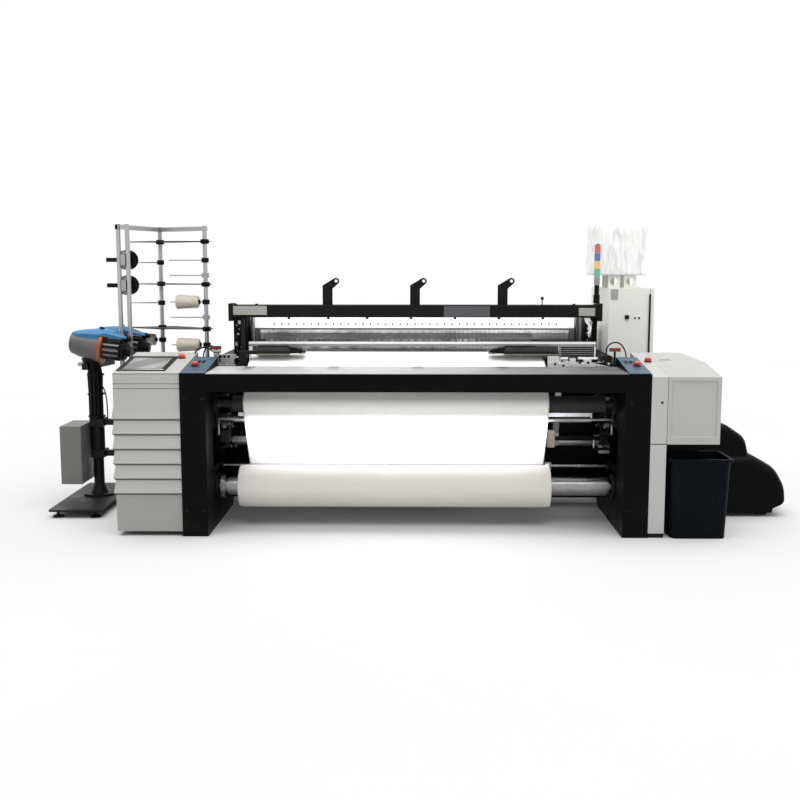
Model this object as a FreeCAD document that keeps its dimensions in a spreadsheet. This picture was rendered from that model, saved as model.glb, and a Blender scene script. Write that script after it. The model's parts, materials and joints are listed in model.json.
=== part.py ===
import FreeCAD, Part

import math
import os

import Sketcher

# An air-jet weaving machine, seen by its weaver: +X to the weaver's right, +Y to the back, +Z up.
# Every place below is measured from the middle of the frame's width, the front of the breast beam and
# the floor.  One shared Placement then moves all pieces so that the origin is under the middle.

os.makedirs("parts", exist_ok=True)
doc = FreeCAD.newDocument("power_loom")
sheet = doc.addObject("Spreadsheet::Sheet", "Sizes")
Vector = FreeCAD.Vector


# ---------------------------------------------------------------- sizes and the sheet that holds them

class Size:
    """A length with its value and the sheet expression that it is worked out from."""

    def __init__(self, value, words):
        self.value = float(value)
        self.words = words

    def join(self, sign, other, value):
        return Size(value, "(%s %s %s)" % (self.words, sign, words_of(other)))

    def __add__(self, other):
        return self.join("+", other, self.value + number(other))

    def __sub__(self, other):
        return self.join("-", other, self.value - number(other))

    def __mul__(self, other):
        return self.join("*", other, self.value * number(other))

    def __truediv__(self, other):
        return self.join("/", other, self.value / number(other))

    def __neg__(self):
        return Size(-self.value, "(-1 * %s)" % self.words)

    def __radd__(self, other):
        return fixed(other) + self

    def __rsub__(self, other):
        return fixed(other) - self

    def __rmul__(self, other):
        return fixed(other) * self


def number(size):
    return size.value if isinstance(size, Size) else float(size)


def words_of(size):
    return size.words if isinstance(size, Size) else "%.6g" % float(size)


def fixed(value):
    return Size(value, "%.6g" % float(value))


row_count = 0


def cell(name, value):
    """One driving dimension: a plain number in the sheet under its own alias."""
    global row_count
    row_count += 1
    place = "B%d" % row_count
    sheet.set("A%d" % row_count, name)
    sheet.set(place, "%.6g" % value)
    sheet.setAlias(place, name)
    return Size(value, "Sizes." + name)


# Clearances and sheet metal
running_gap = cell("running_gap", 0.3)
cover_wall = cell("cover_wall", 4)
slope = cell("top_slope", 0.1405)

# Main frame
frame_width = cell("frame_width", 2540)
side_width = cell("side_frame_width", 140)
frame_height = cell("frame_height", 895)
frame_depth = cell("frame_depth", 1740)
foot_length = cell("side_frame_foot", 780)
arch_height = cell("side_frame_arch", 150)
horn_height = frame_height + cell("back_rest_horn_rise", 171)
horn_width = cell("back_rest_horn_width", 190)
horn_cut = cell("back_rest_horn_side_cut", 40)
horn_slant = cell("back_rest_horn_slant", 20)
rear_foot = cell("side_frame_rear_foot", 330)
arch_slant = cell("side_frame_arch_slant", 70)
arch_front_slant = cell("side_frame_arch_front_slant", 150)
window_lead = cell("front_window_lead", 110)
window_top = cell("front_window_top_length", 240)
window_foot = cell("front_window_foot_length", 370)
window_under = cell("front_window_over_rod", 34)
window_over = cell("front_window_under_press", 46)
window_setback = cell("rear_window_setback", 160)
window_low = cell("rear_window_bottom", 250)
window_high = cell("rear_window_top", 560)
window_width = cell("rear_window_width", 220)
window_round = cell("window_corner_radius", 24)
beam_height = cell("breast_beam_height", 98)
beam_depth = cell("breast_beam_depth", 140)
beam_wall = cell("beam_wall", 10)
plate_depth = cell("breast_plate_depth", 336)
plate_thickness = cell("breast_plate_thickness", 4)
plate_lip = cell("breast_plate_lip", 30)
tie_height = cell("lower_beam_height", 140)
tie_depth = cell("lower_beam_depth", 120)
tie_front = cell("lower_beam_front", 740)
tie_bottom = cell("lower_beam_bottom", 60)
apron_height = cell("lint_apron_height", 500)
apron_setback = cell("lint_apron_setback", 30)
apron_wall = cell("lint_apron_thickness", 10)
rear_beam_front = cell("rear_beam_front", 975)
rear_beam_depth = cell("rear_beam_depth", 90)
rear_beam_height = cell("rear_beam_height", 105)
half_width = frame_width / 2
inner_face = half_width - side_width

# Lintel over the healds
lintel_half = cell("lintel_half_length", 1095)
lintel_front = cell("lintel_front", 700)
lintel_depth = cell("lintel_depth", 110)
lintel_bottom = frame_height + cell("lintel_rise", 271)
lintel_height = cell("lintel_height", 74)
end_plate = cell("lintel_end_plate", 25)
end_plate_drop = cell("lintel_end_plate_drop", 22)
end_plate_rise = cell("lintel_end_plate_rise", 9)
hook_pitch = cell("hook_pitch", 528)
hook_width = cell("hook_width", 60)
hook_straight = cell("hook_straight_height", 116)
hook_lean = cell("hook_lean", 82)
hook_eye = cell("hook_eye_radius", 9)
hook_tip = cell("hook_tip_radius", 20)
hook_thickness = cell("hook_thickness", 12)
eye_rise = cell("hook_eye_rise", 26)
lug_overhang = cell("end_plate_overhang", 6)
post_width = cell("lintel_post_width", 76)
post_outer = cell("lintel_post_outer", 1093)
post_foot_bottom = frame_height - cell("lintel_post_foot_drop", 195)
post_setback = cell("lintel_post_setback", 15)
post_step = cell("lintel_post_step", 20)
slide_wall = cell("heald_slide_wall", 12)

# Left cabinet with its folded front
left_cabinet_outer = cell("left_cabinet_outer", 1643)
left_cabinet_depth = cell("left_cabinet_depth", 520)
cabinet_floor_gap = cell("cabinet_floor_gap", 25)
cabinet_front_height = cell("left_cabinet_front_height", 898)
pleat_pitch = cell("pleat_pitch", 82)
pleat_depth = cell("pleat_depth", 11)
pleat_bottom = cell("pleat_bottom", 230)
pleat_count = 6
screen_left = cell("screen_left", 1625)
screen_right = cell("screen_right", 1357)
screen_front = cell("screen_front", 54)
screen_depth = cell("screen_depth", 330)
screen_rise = cell("screen_rise", 7)
bezel_width = cell("screen_bezel", 24)

# Blue corner panels
panel_front = cell("corner_panel_front", 4)
panel_depth = cell("corner_panel_depth", 394)
panel_rise = cell("corner_panel_rise", 4)
left_panel_inner = cell("left_panel_inner", 1131)
right_panel_inner = cell("right_panel_inner", 1150)
panel_gap = cell("corner_panel_gap", 3)

# Right hand covers
strip_width = cell("strip_cover_width", 87)
right_cover_depth = cell("right_cover_depth", 590)
right_front_height = cell("right_cover_front_height", 883)
right_cabinet_right = cell("right_cabinet_right", 1643)
right_cabinet_bottom = cell("right_cabinet_bottom", 517)
recess_depth = cell("recess_depth", 6)
recess_inset = cell("recess_inset", 22)
corner_cut = cell("right_cabinet_corner_cut", 80)
corner_cut_start = cell("right_cabinet_corner_start", 332)

# Electrical cabinet behind, with the box on top
cabinet_width = cell("electric_cabinet_width", 300)
cabinet_front = cell("electric_cabinet_front", 1330)
cabinet_depth = cell("electric_cabinet_depth", 680)
cabinet_height = cell("electric_cabinet_height", 1329)
cabinet_wall = cell("electric_cabinet_wall", 12)
door_thickness = cell("cabinet_door_thickness", 18)
door_width = cell("cabinet_door_width", 270)
door_bottom = cell("cabinet_door_bottom", 90)
door_margin = cell("cabinet_door_margin", 8)
hinge_radius = cell("cabinet_hinge_radius", 6)
door_gap = cell("cabinet_door_gap", 4)
door_inset = cell("cabinet_door_inset", 2)
switch_side = cell("main_switch_side", 26)
switch_height = cell("main_switch_height", 1139)
switch_reach = cell("main_switch_reach", 16)
bracket_height = cell("box_bracket_height", 84)
bracket_hole = cell("box_bracket_hole_radius", 24)
bracket_thickness = cell("box_bracket_thickness", 6)
box_left = cell("upper_box_left", 1184)
box_width = cell("upper_box_width", 338)
bracket_left = cell("box_bracket_left", 1274)
bracket_width = cell("box_bracket_width", 82)
bracket_pitch = cell("box_bracket_pitch", 105)
box_setback = cell("upper_box_setback", 30)
box_height = cell("upper_box_height", 318)
box_depth = cell("upper_box_depth", 420)
box_round = cell("upper_box_rounding", 26)
lid_overhang = cell("upper_box_lid_overhang", 3)
lid_height = cell("upper_box_lid_height", 14)

# Signal tower
tower_offset = cell("signal_tower_offset", 1092)
tower_pole = cell("signal_tower_pole_radius", 15)
tower_lamp = cell("signal_tower_lamp_radius", 18)
tower_foot = cell("signal_tower_foot", 60)
pole_height = cell("signal_tower_pole_height", 118)
lamp_height = cell("signal_lamp_height", 48)
lamp_count = 5

# Drive covers and the bin on the right
drive_left = cell("drive_cover_left", 1357)
drive_right = cell("drive_cover_right", 2190)
drive_front = cell("drive_cover_front", 500)
drive_depth = cell("drive_cover_depth", 480)
drive_height = cell("drive_cover_height", 372)
drive_foot = cell("drive_cover_foot", 24)
drive_round = cell("drive_cover_rounding", 90)
upper_left = cell("upper_drive_cover_left", 1660)
upper_right = cell("upper_drive_cover_right", 1975)
upper_depth = cell("upper_drive_cover_depth", 380)
upper_height = cell("upper_drive_cover_height", 190)
upper_round = cell("upper_drive_cover_rounding", 70)
bin_middle = cell("bin_middle", 1542)
bin_front = cell("bin_front", -36)
bin_width = cell("bin_width", 350)
bin_depth = cell("bin_depth", 290)
bin_height = cell("bin_height", 440)
bin_taper = cell("bin_taper", 26)
bin_wall = cell("bin_wall", 5)
bin_rim = cell("bin_rim", 11)
bin_corner = cell("bin_corner_radius", 34)

# Weft feeder stand
base_left = cell("stand_base_left", 2153)
base_right = cell("stand_base_right", 1842)
base_front = cell("stand_base_front", 400)
base_depth = cell("stand_base_depth", 790)
base_notch = cell("stand_base_notch", 50)
base_notch_front = cell("stand_base_notch_front", 890)
base_top = cell("stand_base_top", 50)
base_thickness = cell("stand_base_thickness", 12)
foot_radius = cell("levelling_foot_radius", 32)
stem_radius = cell("levelling_stem_radius", 9)
foot_inset = cell("levelling_foot_inset", 45)
stand_x = cell("stand_post_offset", 1981)
stand_y = cell("stand_post_front", 850)
stand_radius = cell("stand_post_radius", 32)
stand_top = cell("stand_post_top", 842)
sleeve_radius = cell("stand_sleeve_radius", 43)
lower_clamp = cell("lower_clamp_height", 290)
upper_clamp = cell("upper_clamp_height", 485)
clamp_height = cell("clamp_height", 46)
clamp_side = cell("clamp_side", 104)
arm_side = cell("stand_arm_side", 36)
feeder_box_width = cell("feeder_box_width", 128)
feeder_box_front = cell("feeder_box_front", 650)
feeder_box_depth = cell("feeder_box_depth", 260)
feeder_box_bottom = cell("feeder_box_bottom", 152)
feeder_box_height = cell("feeder_box_height", 356)

# Weft feeders: each lies on its own axis, which dips towards the loom
feeder_x = cell("feeder_disc_offset", 1917)
feeder_y = cell("feeder_front", 800)
feeder_z = cell("feeder_height", 972)
feeder_dip = cell("feeder_dip_angle", 7)
feeder_pitch_x = cell("rear_feeder_shift", 42)
feeder_pitch_y = cell("rear_feeder_pitch", 290)
disc_radius = cell("feeder_disc_radius", 96)
disc_width = cell("feeder_disc_width", 22)
motor_length = cell("feeder_motor_length", 180)
drum_radius = cell("feeder_drum_radius", 66)
drum_length = cell("feeder_drum_length", 104)
drum_rib = cell("feeder_drum_rib", 5)
nose_radius = cell("feeder_nose_radius", 52)
nose_length = cell("feeder_nose_length", 62)
drum_rib_count = 12

# Creel with its trays, holders and packages
creel_left_x = cell("creel_left_offset", 1812)
creel_left_y = cell("creel_left_front", 950)
creel_mid_x = cell("creel_middle_offset", 1702)
creel_mid_y = cell("creel_middle_front", 1450)
creel_right_x = cell("creel_right_offset", 1363)
creel_right_y = cell("creel_right_front", 1250)
creel_tube = cell("creel_tube_radius", 14)
creel_pair = cell("creel_pair_spacing", 56)
creel_top = cell("creel_top", 1698)
creel_bar = cell("creel_bar_side", 28)
creel_base_height = cell("creel_base_height", 40)
creel_base_width = cell("creel_base_width", 70)
tray_thickness = cell("tray_thickness", 5)
tray_depth = cell("tray_depth", 400)
tray_reach = cell("tray_reach", 215)
tray_heights = [cell("lower_tray_height", 1062), cell("middle_tray_height", 1352),
                cell("upper_tray_height", 1628)]
peg_radius = cell("creel_peg_radius", 4)
holder_radius = cell("creel_holder_radius", 24)
holder_height = cell("creel_holder_height", 30)
cone_length = cell("cone_length", 150)
cone_big = cell("cone_big_radius", 46)
cone_small = cell("cone_small_radius", 39)
cone_bore = cell("cone_bore_radius", 15)
cone_stand = cell("cone_stand_off", 22)
peg_spare = cell("creel_peg_spare", 40)
spool_radius = cell("cord_spool_radius", 61)
spool_width = cell("cord_spool_width", 70)
spool_pin = cell("cord_spool_pin_radius", 7)
spool_block = cell("cord_spool_block_height", 110)
spool_stand = cell("cord_spool_stand_off", 40)
spool_block_depth = cell("cord_spool_block_depth", 26)
handle_reach = cell("cord_spool_handle_reach", 76)
handle_height = cell("cord_spool_handle_height", 26)
spool_heights = [cell("lower_spool_height", 1352), cell("upper_spool_height", 1510)]

# Cloth side
cloth_left = cell("cloth_left", 965)
cloth_right = cell("cloth_right", 751)
cloth_thickness = cell("cloth_thickness", 2)
fell_y = cell("fell_front", 600)
fell_z = frame_height + cell("fell_rise", 73)
guide_y = cell("cloth_guide_front", 404)
guide_z = frame_height - cell("cloth_guide_drop", 17)
guide_radius = cell("cloth_guide_radius", 14)
take_up_y = cell("take_up_front", 273)
take_up_z = cell("take_up_height", 699)
take_up_radius = cell("take_up_radius", 47)
take_up_left = cell("take_up_left", 1027)
take_up_right = cell("take_up_right", 1068)
press_back = cell("press_roller_setback", 15)
press_drop = cell("press_roller_drop", 90)
press_radius = cell("press_roller_radius", 17)
press_right = cell("press_roller_right", 993)
rod_y = cell("guide_rod_front", 432)
rod_z = cell("guide_rod_height", 316)
rod_radius = cell("guide_rod_radius", 8)
roll_y = cell("cloth_roll_front", 300)
roll_z = cell("cloth_roll_height", 222)
roll_radius = cell("cloth_roll_radius", 120)
roll_left = cell("cloth_roll_left", 998)
roll_right = cell("cloth_roll_right", 768)
cloth_beam_radius = cell("cloth_beam_radius", 52)
journal_radius = cell("journal_radius", 20)
small_journal = cell("small_journal_radius", 9)
journal_depth = cell("journal_depth", 30)

# Sley, reed and healds
rocker_y = cell("rocker_shaft_front", 800)
rocker_z = cell("rocker_shaft_height", 400)
rocker_radius = cell("rocker_shaft_radius", 34)
sley_left = cell("sley_left", 1000)
sley_right = cell("sley_right", 1080)
sley_front = cell("sley_beam_front", 640)
sley_depth = cell("sley_beam_depth", 62)
sley_top = fell_z - cell("sley_beam_drop", 102)
sley_bottom = sley_top - cell("sley_beam_height", 76)
sword_inset = cell("sley_sword_inset", 120)
sword_count = 6
sword_width = cell("sley_sword_width", 36)
reed_front = cell("reed_front", 662)
reed_depth = cell("reed_depth", 16)
reed_top = fell_z + cell("reed_rise", 54)
reed_cap = cell("reed_cap_height", 12)
dent_depth = cell("reed_dent_depth", 8)
reed_rib_count = 100
reed_groove = cell("reed_groove_depth", 30)
reed_block = cell("reed_end_block_length", 150)
heald_left = cell("heald_frame_left", 985)
heald_right = cell("heald_frame_right", 975)
heald_front = cell("heald_frame_front", 846)
heald_pitch = cell("heald_frame_pitch", 22)
heald_thickness = cell("heald_frame_thickness", 11)
heald_top = fell_z + cell("heald_frame_rise", 192)
heald_top_bar = cell("heald_top_bar", 105)
heald_low_bar = cell("heald_low_bar", 90)
heald_bottom = fell_z - cell("heald_frame_drop", 263)
heald_strut = cell("heald_strut_width", 24)
heddle_width = cell("heddle_width", 5)
heddle_thickness = cell("heddle_thickness", 3)
heddle_count = 44
heald_count = 4

# Warp side
beam_y = cell("warp_beam_front", 1440)
beam_z = cell("warp_beam_height", 462)
flange_radius = cell("warp_flange_radius", 400)
flange_thickness = cell("warp_flange_thickness", 14)
flange_web = cell("warp_flange_web", 6)
barrel_radius = cell("warp_barrel_radius", 84)
warp_radius = cell("warp_radius", 325)
warp_left = cell("warp_left", 975)
warp_right = cell("warp_right", 760)
rest_y = cell("back_rest_front", 1640)
rest_z = frame_height + cell("back_rest_rise", 95)
rest_radius = cell("back_rest_radius", 62)
warp_front = cell("warp_sheet_front", 955)
warp_front_z = fell_z - cell("warp_sheet_drop", 10)
warp_thickness = cell("warp_thickness", 2)
stop_front = cell("stop_motion_front", 1040)
stop_depth = cell("stop_motion_depth", 150)
stop_rail = cell("stop_motion_rail", 14)
stop_bracket = cell("stop_motion_bracket", 60)
stop_lift = cell("stop_motion_lift", 42)
drop_wire_count = 40

# Mushroom buttons
button_radius = cell("button_radius", 19)
button_height = cell("button_height", 18)
button_neck = cell("button_neck_radius", 11)
button_travel = cell("button_travel", 5)

# Temples, nozzles, the cloth edge devices and their hoses
temple_bar_front = cell("temple_bar_front", 470)
temple_bar_depth = cell("temple_bar_depth", 50)
temple_bar_bottom = frame_height - cell("temple_bar_drop", 45)
temple_bar_height = cell("temple_bar_height", 40)
temple_bottom = fell_z - cell("temple_drop", 6)
temple_depth = cell("temple_depth", 90)
temple_height = cell("temple_height", 46)
temple_edge_gap = cell("temple_edge_gap", 14)
temple_arm_width = cell("temple_arm_width", 46)
left_temple = [cell("left_temple_outer", 928), cell("left_temple_inner", 729),
               cell("left_temple_tip", 659)]
right_temple = [cell("right_temple_outer", 831), cell("right_temple_inner", 518),
                cell("right_temple_tip", 449)]
nozzle_front = cell("nozzle_plate_front", 430)
nozzle_back = cell("nozzle_plate_back", 558)
nozzle_overhang = cell("nozzle_plate_overhang", 90)
nozzle_plate = cell("nozzle_plate_thickness", 10)
nozzle_radius = cell("nozzle_radius", 12)
bracket_x = cell("nozzle_bracket_offset", 1010)
bracket_top = lintel_bottom - cell("nozzle_bracket_gap", 1)
edge_front = cell("edge_unit_front", 388)
edge_depth = cell("edge_unit_depth", 68)
edge_bottom = frame_height + cell("edge_unit_rise", 3)
edge_rail = cell("edge_unit_rail_height", 26)
edge_block = cell("edge_unit_bracket_width", 60)
edge_top = edge_bottom + cell("edge_unit_bracket_height", 62)
tap_radius = cell("tap_stem_radius", 6)
tap_height = cell("tap_height", 106)
tap_width = cell("tap_handle_width", 64)
tap_y = cell("tap_front", 470)
hose_radius = cell("hose_radius", 4)

doc.recompute()

strip_left = half_width
cabinet_left = half_width + running_gap
door_left = cabinet_left + door_inset
right_cabinet_left = strip_left + strip_width + running_gap
press_y = take_up_y + press_back
press_z = take_up_z - press_drop
slant_up = Size(1 / math.sqrt(1 + slope.value ** 2), "(1 / sqrt(1 + Sizes.top_slope * Sizes.top_slope))")
slant_back = slope * slant_up
tilt = Size(math.degrees(math.atan(slope.value)), "atan(Sizes.top_slope)")

# The frame centreline isn't the middle of the whole machine, because the stand and the covers reach
# unequally far; the origin lies on the floor under the middle of everything.
origin_x = (drive_right - base_left) / 2
reach_back = cabinet_front + cabinet_depth
origin_y = (reach_back + bin_front) / 2


# ------------------------------------------------------------------------------ ways to make a piece

def settle(piece, label, x=0.0, y=0.0, z=0.0, dip=None):
    """Labels a piece and puts it at a place of the loom's own coordinates."""
    piece.Label = label
    turn = FreeCAD.Rotation()
    if dip is not None:
        turn = FreeCAD.Rotation(dip[0], number(dip[1]))
    at_x = fixed(0) + x - origin_x
    at_y = fixed(0) + y - origin_y
    at_z = fixed(0) + z
    piece.Placement = FreeCAD.Placement(Vector(at_x.value, at_y.value, at_z.value), turn)
    piece.setExpression("Placement.Base.x", at_x.words)
    piece.setExpression("Placement.Base.y", at_y.words)
    piece.setExpression("Placement.Base.z", at_z.words)
    if dip is not None and isinstance(dip[1], Size):
        piece.setExpression("Placement.Rotation.Angle", dip[1].words)
    return piece


def body(label, **place):
    piece = doc.addObject("PartDesign::Body", label)
    return settle(piece, label, **place)


def origin_part(piece, role):
    return [part for part in piece.Origin.OriginFeatures if part.Role == role][0]


def sketch(piece, role, offset):
    """An empty sketch on one of the body's own planes, shifted along its normal."""
    drawing = piece.newObject("Sketcher::SketchObject", piece.Name + "_sketch")
    drawing.AttachmentSupport = [(origin_part(piece, role), "")]
    drawing.MapMode = "FlatFace"
    drawing.AttachmentOffset = FreeCAD.Placement(Vector(0, 0, number(offset)), FreeCAD.Rotation())
    drawing.setExpression("AttachmentOffset.Base.z", words_of(offset))
    return drawing


def pin_point(drawing, geometry, end, across, up):
    """Fixes one point of the sketch by its two distances from the sketch's origin."""
    for kind, size in (("DistanceX", across), ("DistanceY", up)):
        index = drawing.addConstraint(Sketcher.Constraint(kind, -1, 1, geometry, end, number(size)))
        drawing.setExpression("Constraints[%d]" % index, words_of(size))


def draw_outline(drawing, points):
    """A closed run of straight lines through the points."""
    first = drawing.GeometryCount
    count = len(points)
    places = [Vector(number(across), number(up), 0) for across, up in points]
    for index in range(count):
        drawing.addGeometry(Part.LineSegment(places[index], places[(index + 1) % count]), False)
    for index in range(count):
        following = first + (index + 1) % count
        drawing.addConstraint(Sketcher.Constraint("Coincident", first + index, 2, following, 1))
    for index, (across, up) in enumerate(points):
        pin_point(drawing, first + index, 1, across, up)


def draw_circle(drawing, across, up, radius):
    place = Vector(number(across), number(up), 0)
    index = drawing.addGeometry(Part.Circle(place, Vector(0, 0, 1), number(radius)), False)
    pin_point(drawing, index, 3, across, up)
    rule = drawing.addConstraint(Sketcher.Constraint("Radius", index, number(radius)))
    drawing.setExpression("Constraints[%d]" % rule, words_of(radius))


def draw(drawing, outlines):
    for outline in outlines:
        if outline[0] == "circle":
            draw_circle(drawing, *outline[1:])
        else:
            draw_outline(drawing, outline)


ROLES = {"X": "YZ_Plane", "Y": "XZ_Plane", "Z": "XY_Plane"}


def start_of(axis, low, high):
    """Where the sketch lies on its plane's normal, which points along +X, -Y or +Z."""
    return -high if axis == "Y" else low


def pad(piece, axis, outlines, low, high):
    """Material between two planes square to the axis: outlines are in (Y,Z), (X,Z) or (X,Y)."""
    low, high = fixed(0) + low, fixed(0) + high
    drawing = sketch(piece, ROLES[axis], start_of(axis, low, high))
    draw(drawing, outlines)
    feature = piece.newObject("PartDesign::Pad", piece.Name + "_pad")
    feature.Profile = drawing
    feature.Length = number(high - low)
    feature.setExpression("Length", words_of(high - low))
    piece.Tip = feature
    return feature


def pocket(piece, axis, outlines, low, high):
    """Takes away what lies between two planes square to the axis."""
    low, high = fixed(0) + low, fixed(0) + high
    drawing = sketch(piece, ROLES[axis], start_of(axis, low, high))
    draw(drawing, outlines)
    feature = piece.newObject("PartDesign::Pocket", piece.Name + "_pocket")
    feature.Profile = drawing
    feature.Reversed = True
    feature.Length = number(high - low)
    feature.setExpression("Length", words_of(high - low))
    piece.Tip = feature
    return feature


def turned(piece, axis, at, profile, name="turned"):
    """A solid of revolution: profile points are (place along the axis, radius)."""
    x, y, z = at
    if axis == "X":
        drawing = sketch(piece, "XZ_Plane", -(fixed(0) + y))
        points = [(along, z + radius) for along, radius in profile]
        ends = ((profile[0][0], z), (profile[-1][0], z))
    elif axis == "Y":
        drawing = sketch(piece, "YZ_Plane", fixed(0) + x)
        points = [(along, z + radius) for along, radius in profile]
        ends = ((profile[0][0], z), (profile[-1][0], z))
    else:
        drawing = sketch(piece, "XZ_Plane", -(fixed(0) + y))
        points = [(x + radius, along) for along, radius in profile]
        ends = ((x, profile[0][0]), (x, profile[-1][0]))
    draw_outline(drawing, points)
    places = [Vector(number(across), number(up), 0) for across, up in ends]
    line = drawing.addGeometry(Part.LineSegment(places[0], places[1]), True)
    pin_point(drawing, line, 1, *ends[0])
    pin_point(drawing, line, 2, *ends[1])
    feature = piece.newObject("PartDesign::Revolution", piece.Name + "_" + name)
    feature.Profile = drawing
    feature.ReferenceAxis = (drawing, ["Axis0"])
    feature.Angle = 360
    piece.Tip = feature
    return feature


def repeat(piece, feature, axis, length, count, name="row"):
    """A row of copies of a feature along one of the body's own axes."""
    row = piece.newObject("PartDesign::LinearPattern", piece.Name + "_" + name)
    row.Originals = [feature]
    row.Direction = (origin_part(piece, axis + "_Axis"), [""])
    row.Length = number(length)
    row.setExpression("Length", words_of(length))
    row.Occurrences = count
    piece.Tip = row
    return row


def rounded(piece, radius, wanted, name="fillet"):
    """Rounds the edges of the present tip that the test picks."""
    doc.recompute()
    base = piece.Tip
    edges = ["Edge%d" % (index + 1) for index, edge in enumerate(base.Shape.Edges) if wanted(edge)]
    feature = piece.newObject("PartDesign::Fillet", piece.Name + "_" + name)
    feature.Base = (base, edges)
    feature.Radius = number(radius)
    feature.setExpression("Radius", words_of(radius))
    piece.Tip = feature
    return feature


def along(axis):
    """Picks straight edges that run along an axis."""
    direction = {"X": Vector(1, 0, 0), "Y": Vector(0, 1, 0), "Z": Vector(0, 0, 1)}[axis]

    def wanted(edge):
        if not isinstance(edge.Curve, (Part.Line, Part.LineSegment)):
            return False
        run = edge.Vertexes[-1].Point - edge.Vertexes[0].Point
        return run.Length > 0 and abs(run.normalize().dot(direction)) > 0.999
    return wanted


def box(x_low, x_high, y_low, y_high):
    """The four corners of a rectangle."""
    return [(x_low, y_low), (x_high, y_low), (x_high, y_high), (x_low, y_high)]


def formed(label, shape, **place):
    """A piece whose shape is worked out here from the sheet's sizes."""
    piece = doc.addObject("Part::Feature", label)
    piece.Shape = shape
    return settle(piece, label, **place)


def point(x, y, z):
    return Vector(number(x), number(y), number(z))


def round_rectangle(x_low, x_high, y_low, y_high, z, radius):
    """A level rectangle with round corners, as one wire."""
    x_low, x_high, y_low, y_high = [number(size) for size in (x_low, x_high, y_low, y_high)]
    z, radius = number(z), number(radius)
    corners = [(x_high, y_low, -90), (x_high, y_high, 0), (x_low, y_high, 90), (x_low, y_low, 180)]
    edges = []
    last = None
    first = None
    for corner_x, corner_y, start in corners:
        side_x = 1 if corner_x == x_high else -1
        side_y = 1 if corner_y == y_high else -1
        centre = Vector(corner_x - side_x * radius, corner_y - side_y * radius, z)
        spots = []
        for turn in (start, start + 45, start + 90):
            angle = math.radians(turn)
            spots.append(centre + Vector(math.cos(angle), math.sin(angle), 0) * radius)
        if last is not None:
            edges.append(Part.LineSegment(last, spots[0]).toShape())
        first = first or spots[0]
        edges.append(Part.Arc(*spots).toShape())
        last = spots[2]
    edges.append(Part.LineSegment(last, first).toShape())
    return Part.Wire(edges)


# ---------------------------------------------------------------------------------------- the frame

def side_frame(label, sign):
    """A cast side frame: two feet with an arch between, a horn for the back rest and bored seats."""
    piece = body(label)
    rear = frame_depth
    horn_front = rear - horn_width
    arch_end = rear - rear_foot - arch_slant
    outline = [(0, 0), (0, frame_height), (horn_front - horn_slant, frame_height), (horn_front, horn_height),
               (rear - horn_slant, horn_height), (rear, horn_height - horn_slant * 3), (rear, 0),
               (rear - rear_foot, 0), (arch_end, arch_height), (foot_length + arch_front_slant, arch_height),
               (foot_length, 0)]
    low = inner_face if sign > 0 else -half_width
    high = half_width if sign > 0 else -inner_face
    pad(piece, "X", [outline], low, high)
    beside_horn = box(horn_front - horn_slant - 1, rear + 1, frame_height, horn_height + 1)
    if sign > 0:
        pocket(piece, "X", [beside_horn], half_width - horn_cut, half_width + 1)
    else:
        pocket(piece, "X", [beside_horn], -half_width - 1, horn_cut - half_width)
    front_window, rear_window = roll_y - window_lead, rocker_y + window_setback
    low_edge, high_edge = rod_z + window_under, press_z - window_over
    middle = (low_edge + high_edge) / 2
    front_end, rear_end = front_window + window_foot, rear_window + window_width
    windows = [[(front_window, low_edge), (front_window, high_edge), (front_window + window_top, high_edge),
                (front_end, middle), (front_end, low_edge)],
               [(rear_window, window_low), (rear_window, window_high), (rear_end, window_low * 1.2),
                (rear_end, window_low)]]
    pocket(piece, "X", windows, low, high)
    seats = [(take_up_y, take_up_z), (roll_y, roll_z), (rocker_y, rocker_z), (beam_y, beam_z),
             (rest_y, rest_z)]
    bores = [("circle", y, z, journal_radius + running_gap) for y, z in seats]
    bores.append(("circle", press_y, press_z, small_journal + running_gap))
    if sign > 0:
        pocket(piece, "X", bores, inner_face, inner_face + journal_depth + running_gap)
    else:
        pocket(piece, "X", bores, -inner_face - journal_depth - running_gap, -inner_face)
    lowest, highest = number(window_low) - 1, number(high_edge) + 1
    rounded(piece, window_round, lambda edge: along("X")(edge) and edge.Length > number(side_width) - 1
            and lowest < edge.CenterOfMass.z < highest)
    return piece


def tube_beam(label, front, depth, bottom, height):
    """A box beam from side frame to side frame."""
    piece = body(label)
    back, top = front + depth, bottom + height
    outer = box(front, back, bottom, top)
    inner = box(front + beam_wall, back - beam_wall, bottom + beam_wall, top - beam_wall)
    pad(piece, "X", [outer, inner], -inner_face, inner_face)
    return piece


def lower_beam():
    """The lower tie beam, with the upright apron behind it that keeps lint out of the warp."""
    piece = tube_beam("lower_beam", tie_front, tie_depth, tie_bottom, tie_height)
    back = tie_front + tie_depth
    far = back + apron_setback
    apron = [(back - 1, tie_bottom), (far, tie_bottom), (far, tie_bottom + apron_height),
             (far - apron_wall, tie_bottom + apron_height), (far - apron_wall, tie_bottom + apron_wall),
             (back - 1, tie_bottom + apron_wall)]
    pad(piece, "X", [apron], -inner_face, inner_face)
    return piece


def breast_plate():
    """The polished plate over the breast beam, turned down at its back edge."""
    piece = body("breast_plate")
    top = frame_height + plate_thickness
    back = panel_front + plate_depth
    rise = plate_depth * 0.02
    lip = frame_height + rise - plate_lip
    outline = [(2, frame_height), (back - plate_lip, frame_height + rise), (back - plate_thickness, lip),
               (back, lip), (back, top + rise), (2, top)]
    pad(piece, "X", [outline], -left_panel_inner + panel_gap, right_panel_inner - panel_gap)
    over_side = box(back - plate_lip - 10, back + 1, lip - 10, frame_height + running_gap)
    pocket(piece, "X", [over_side], inner_face, right_panel_inner)
    return piece


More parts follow.
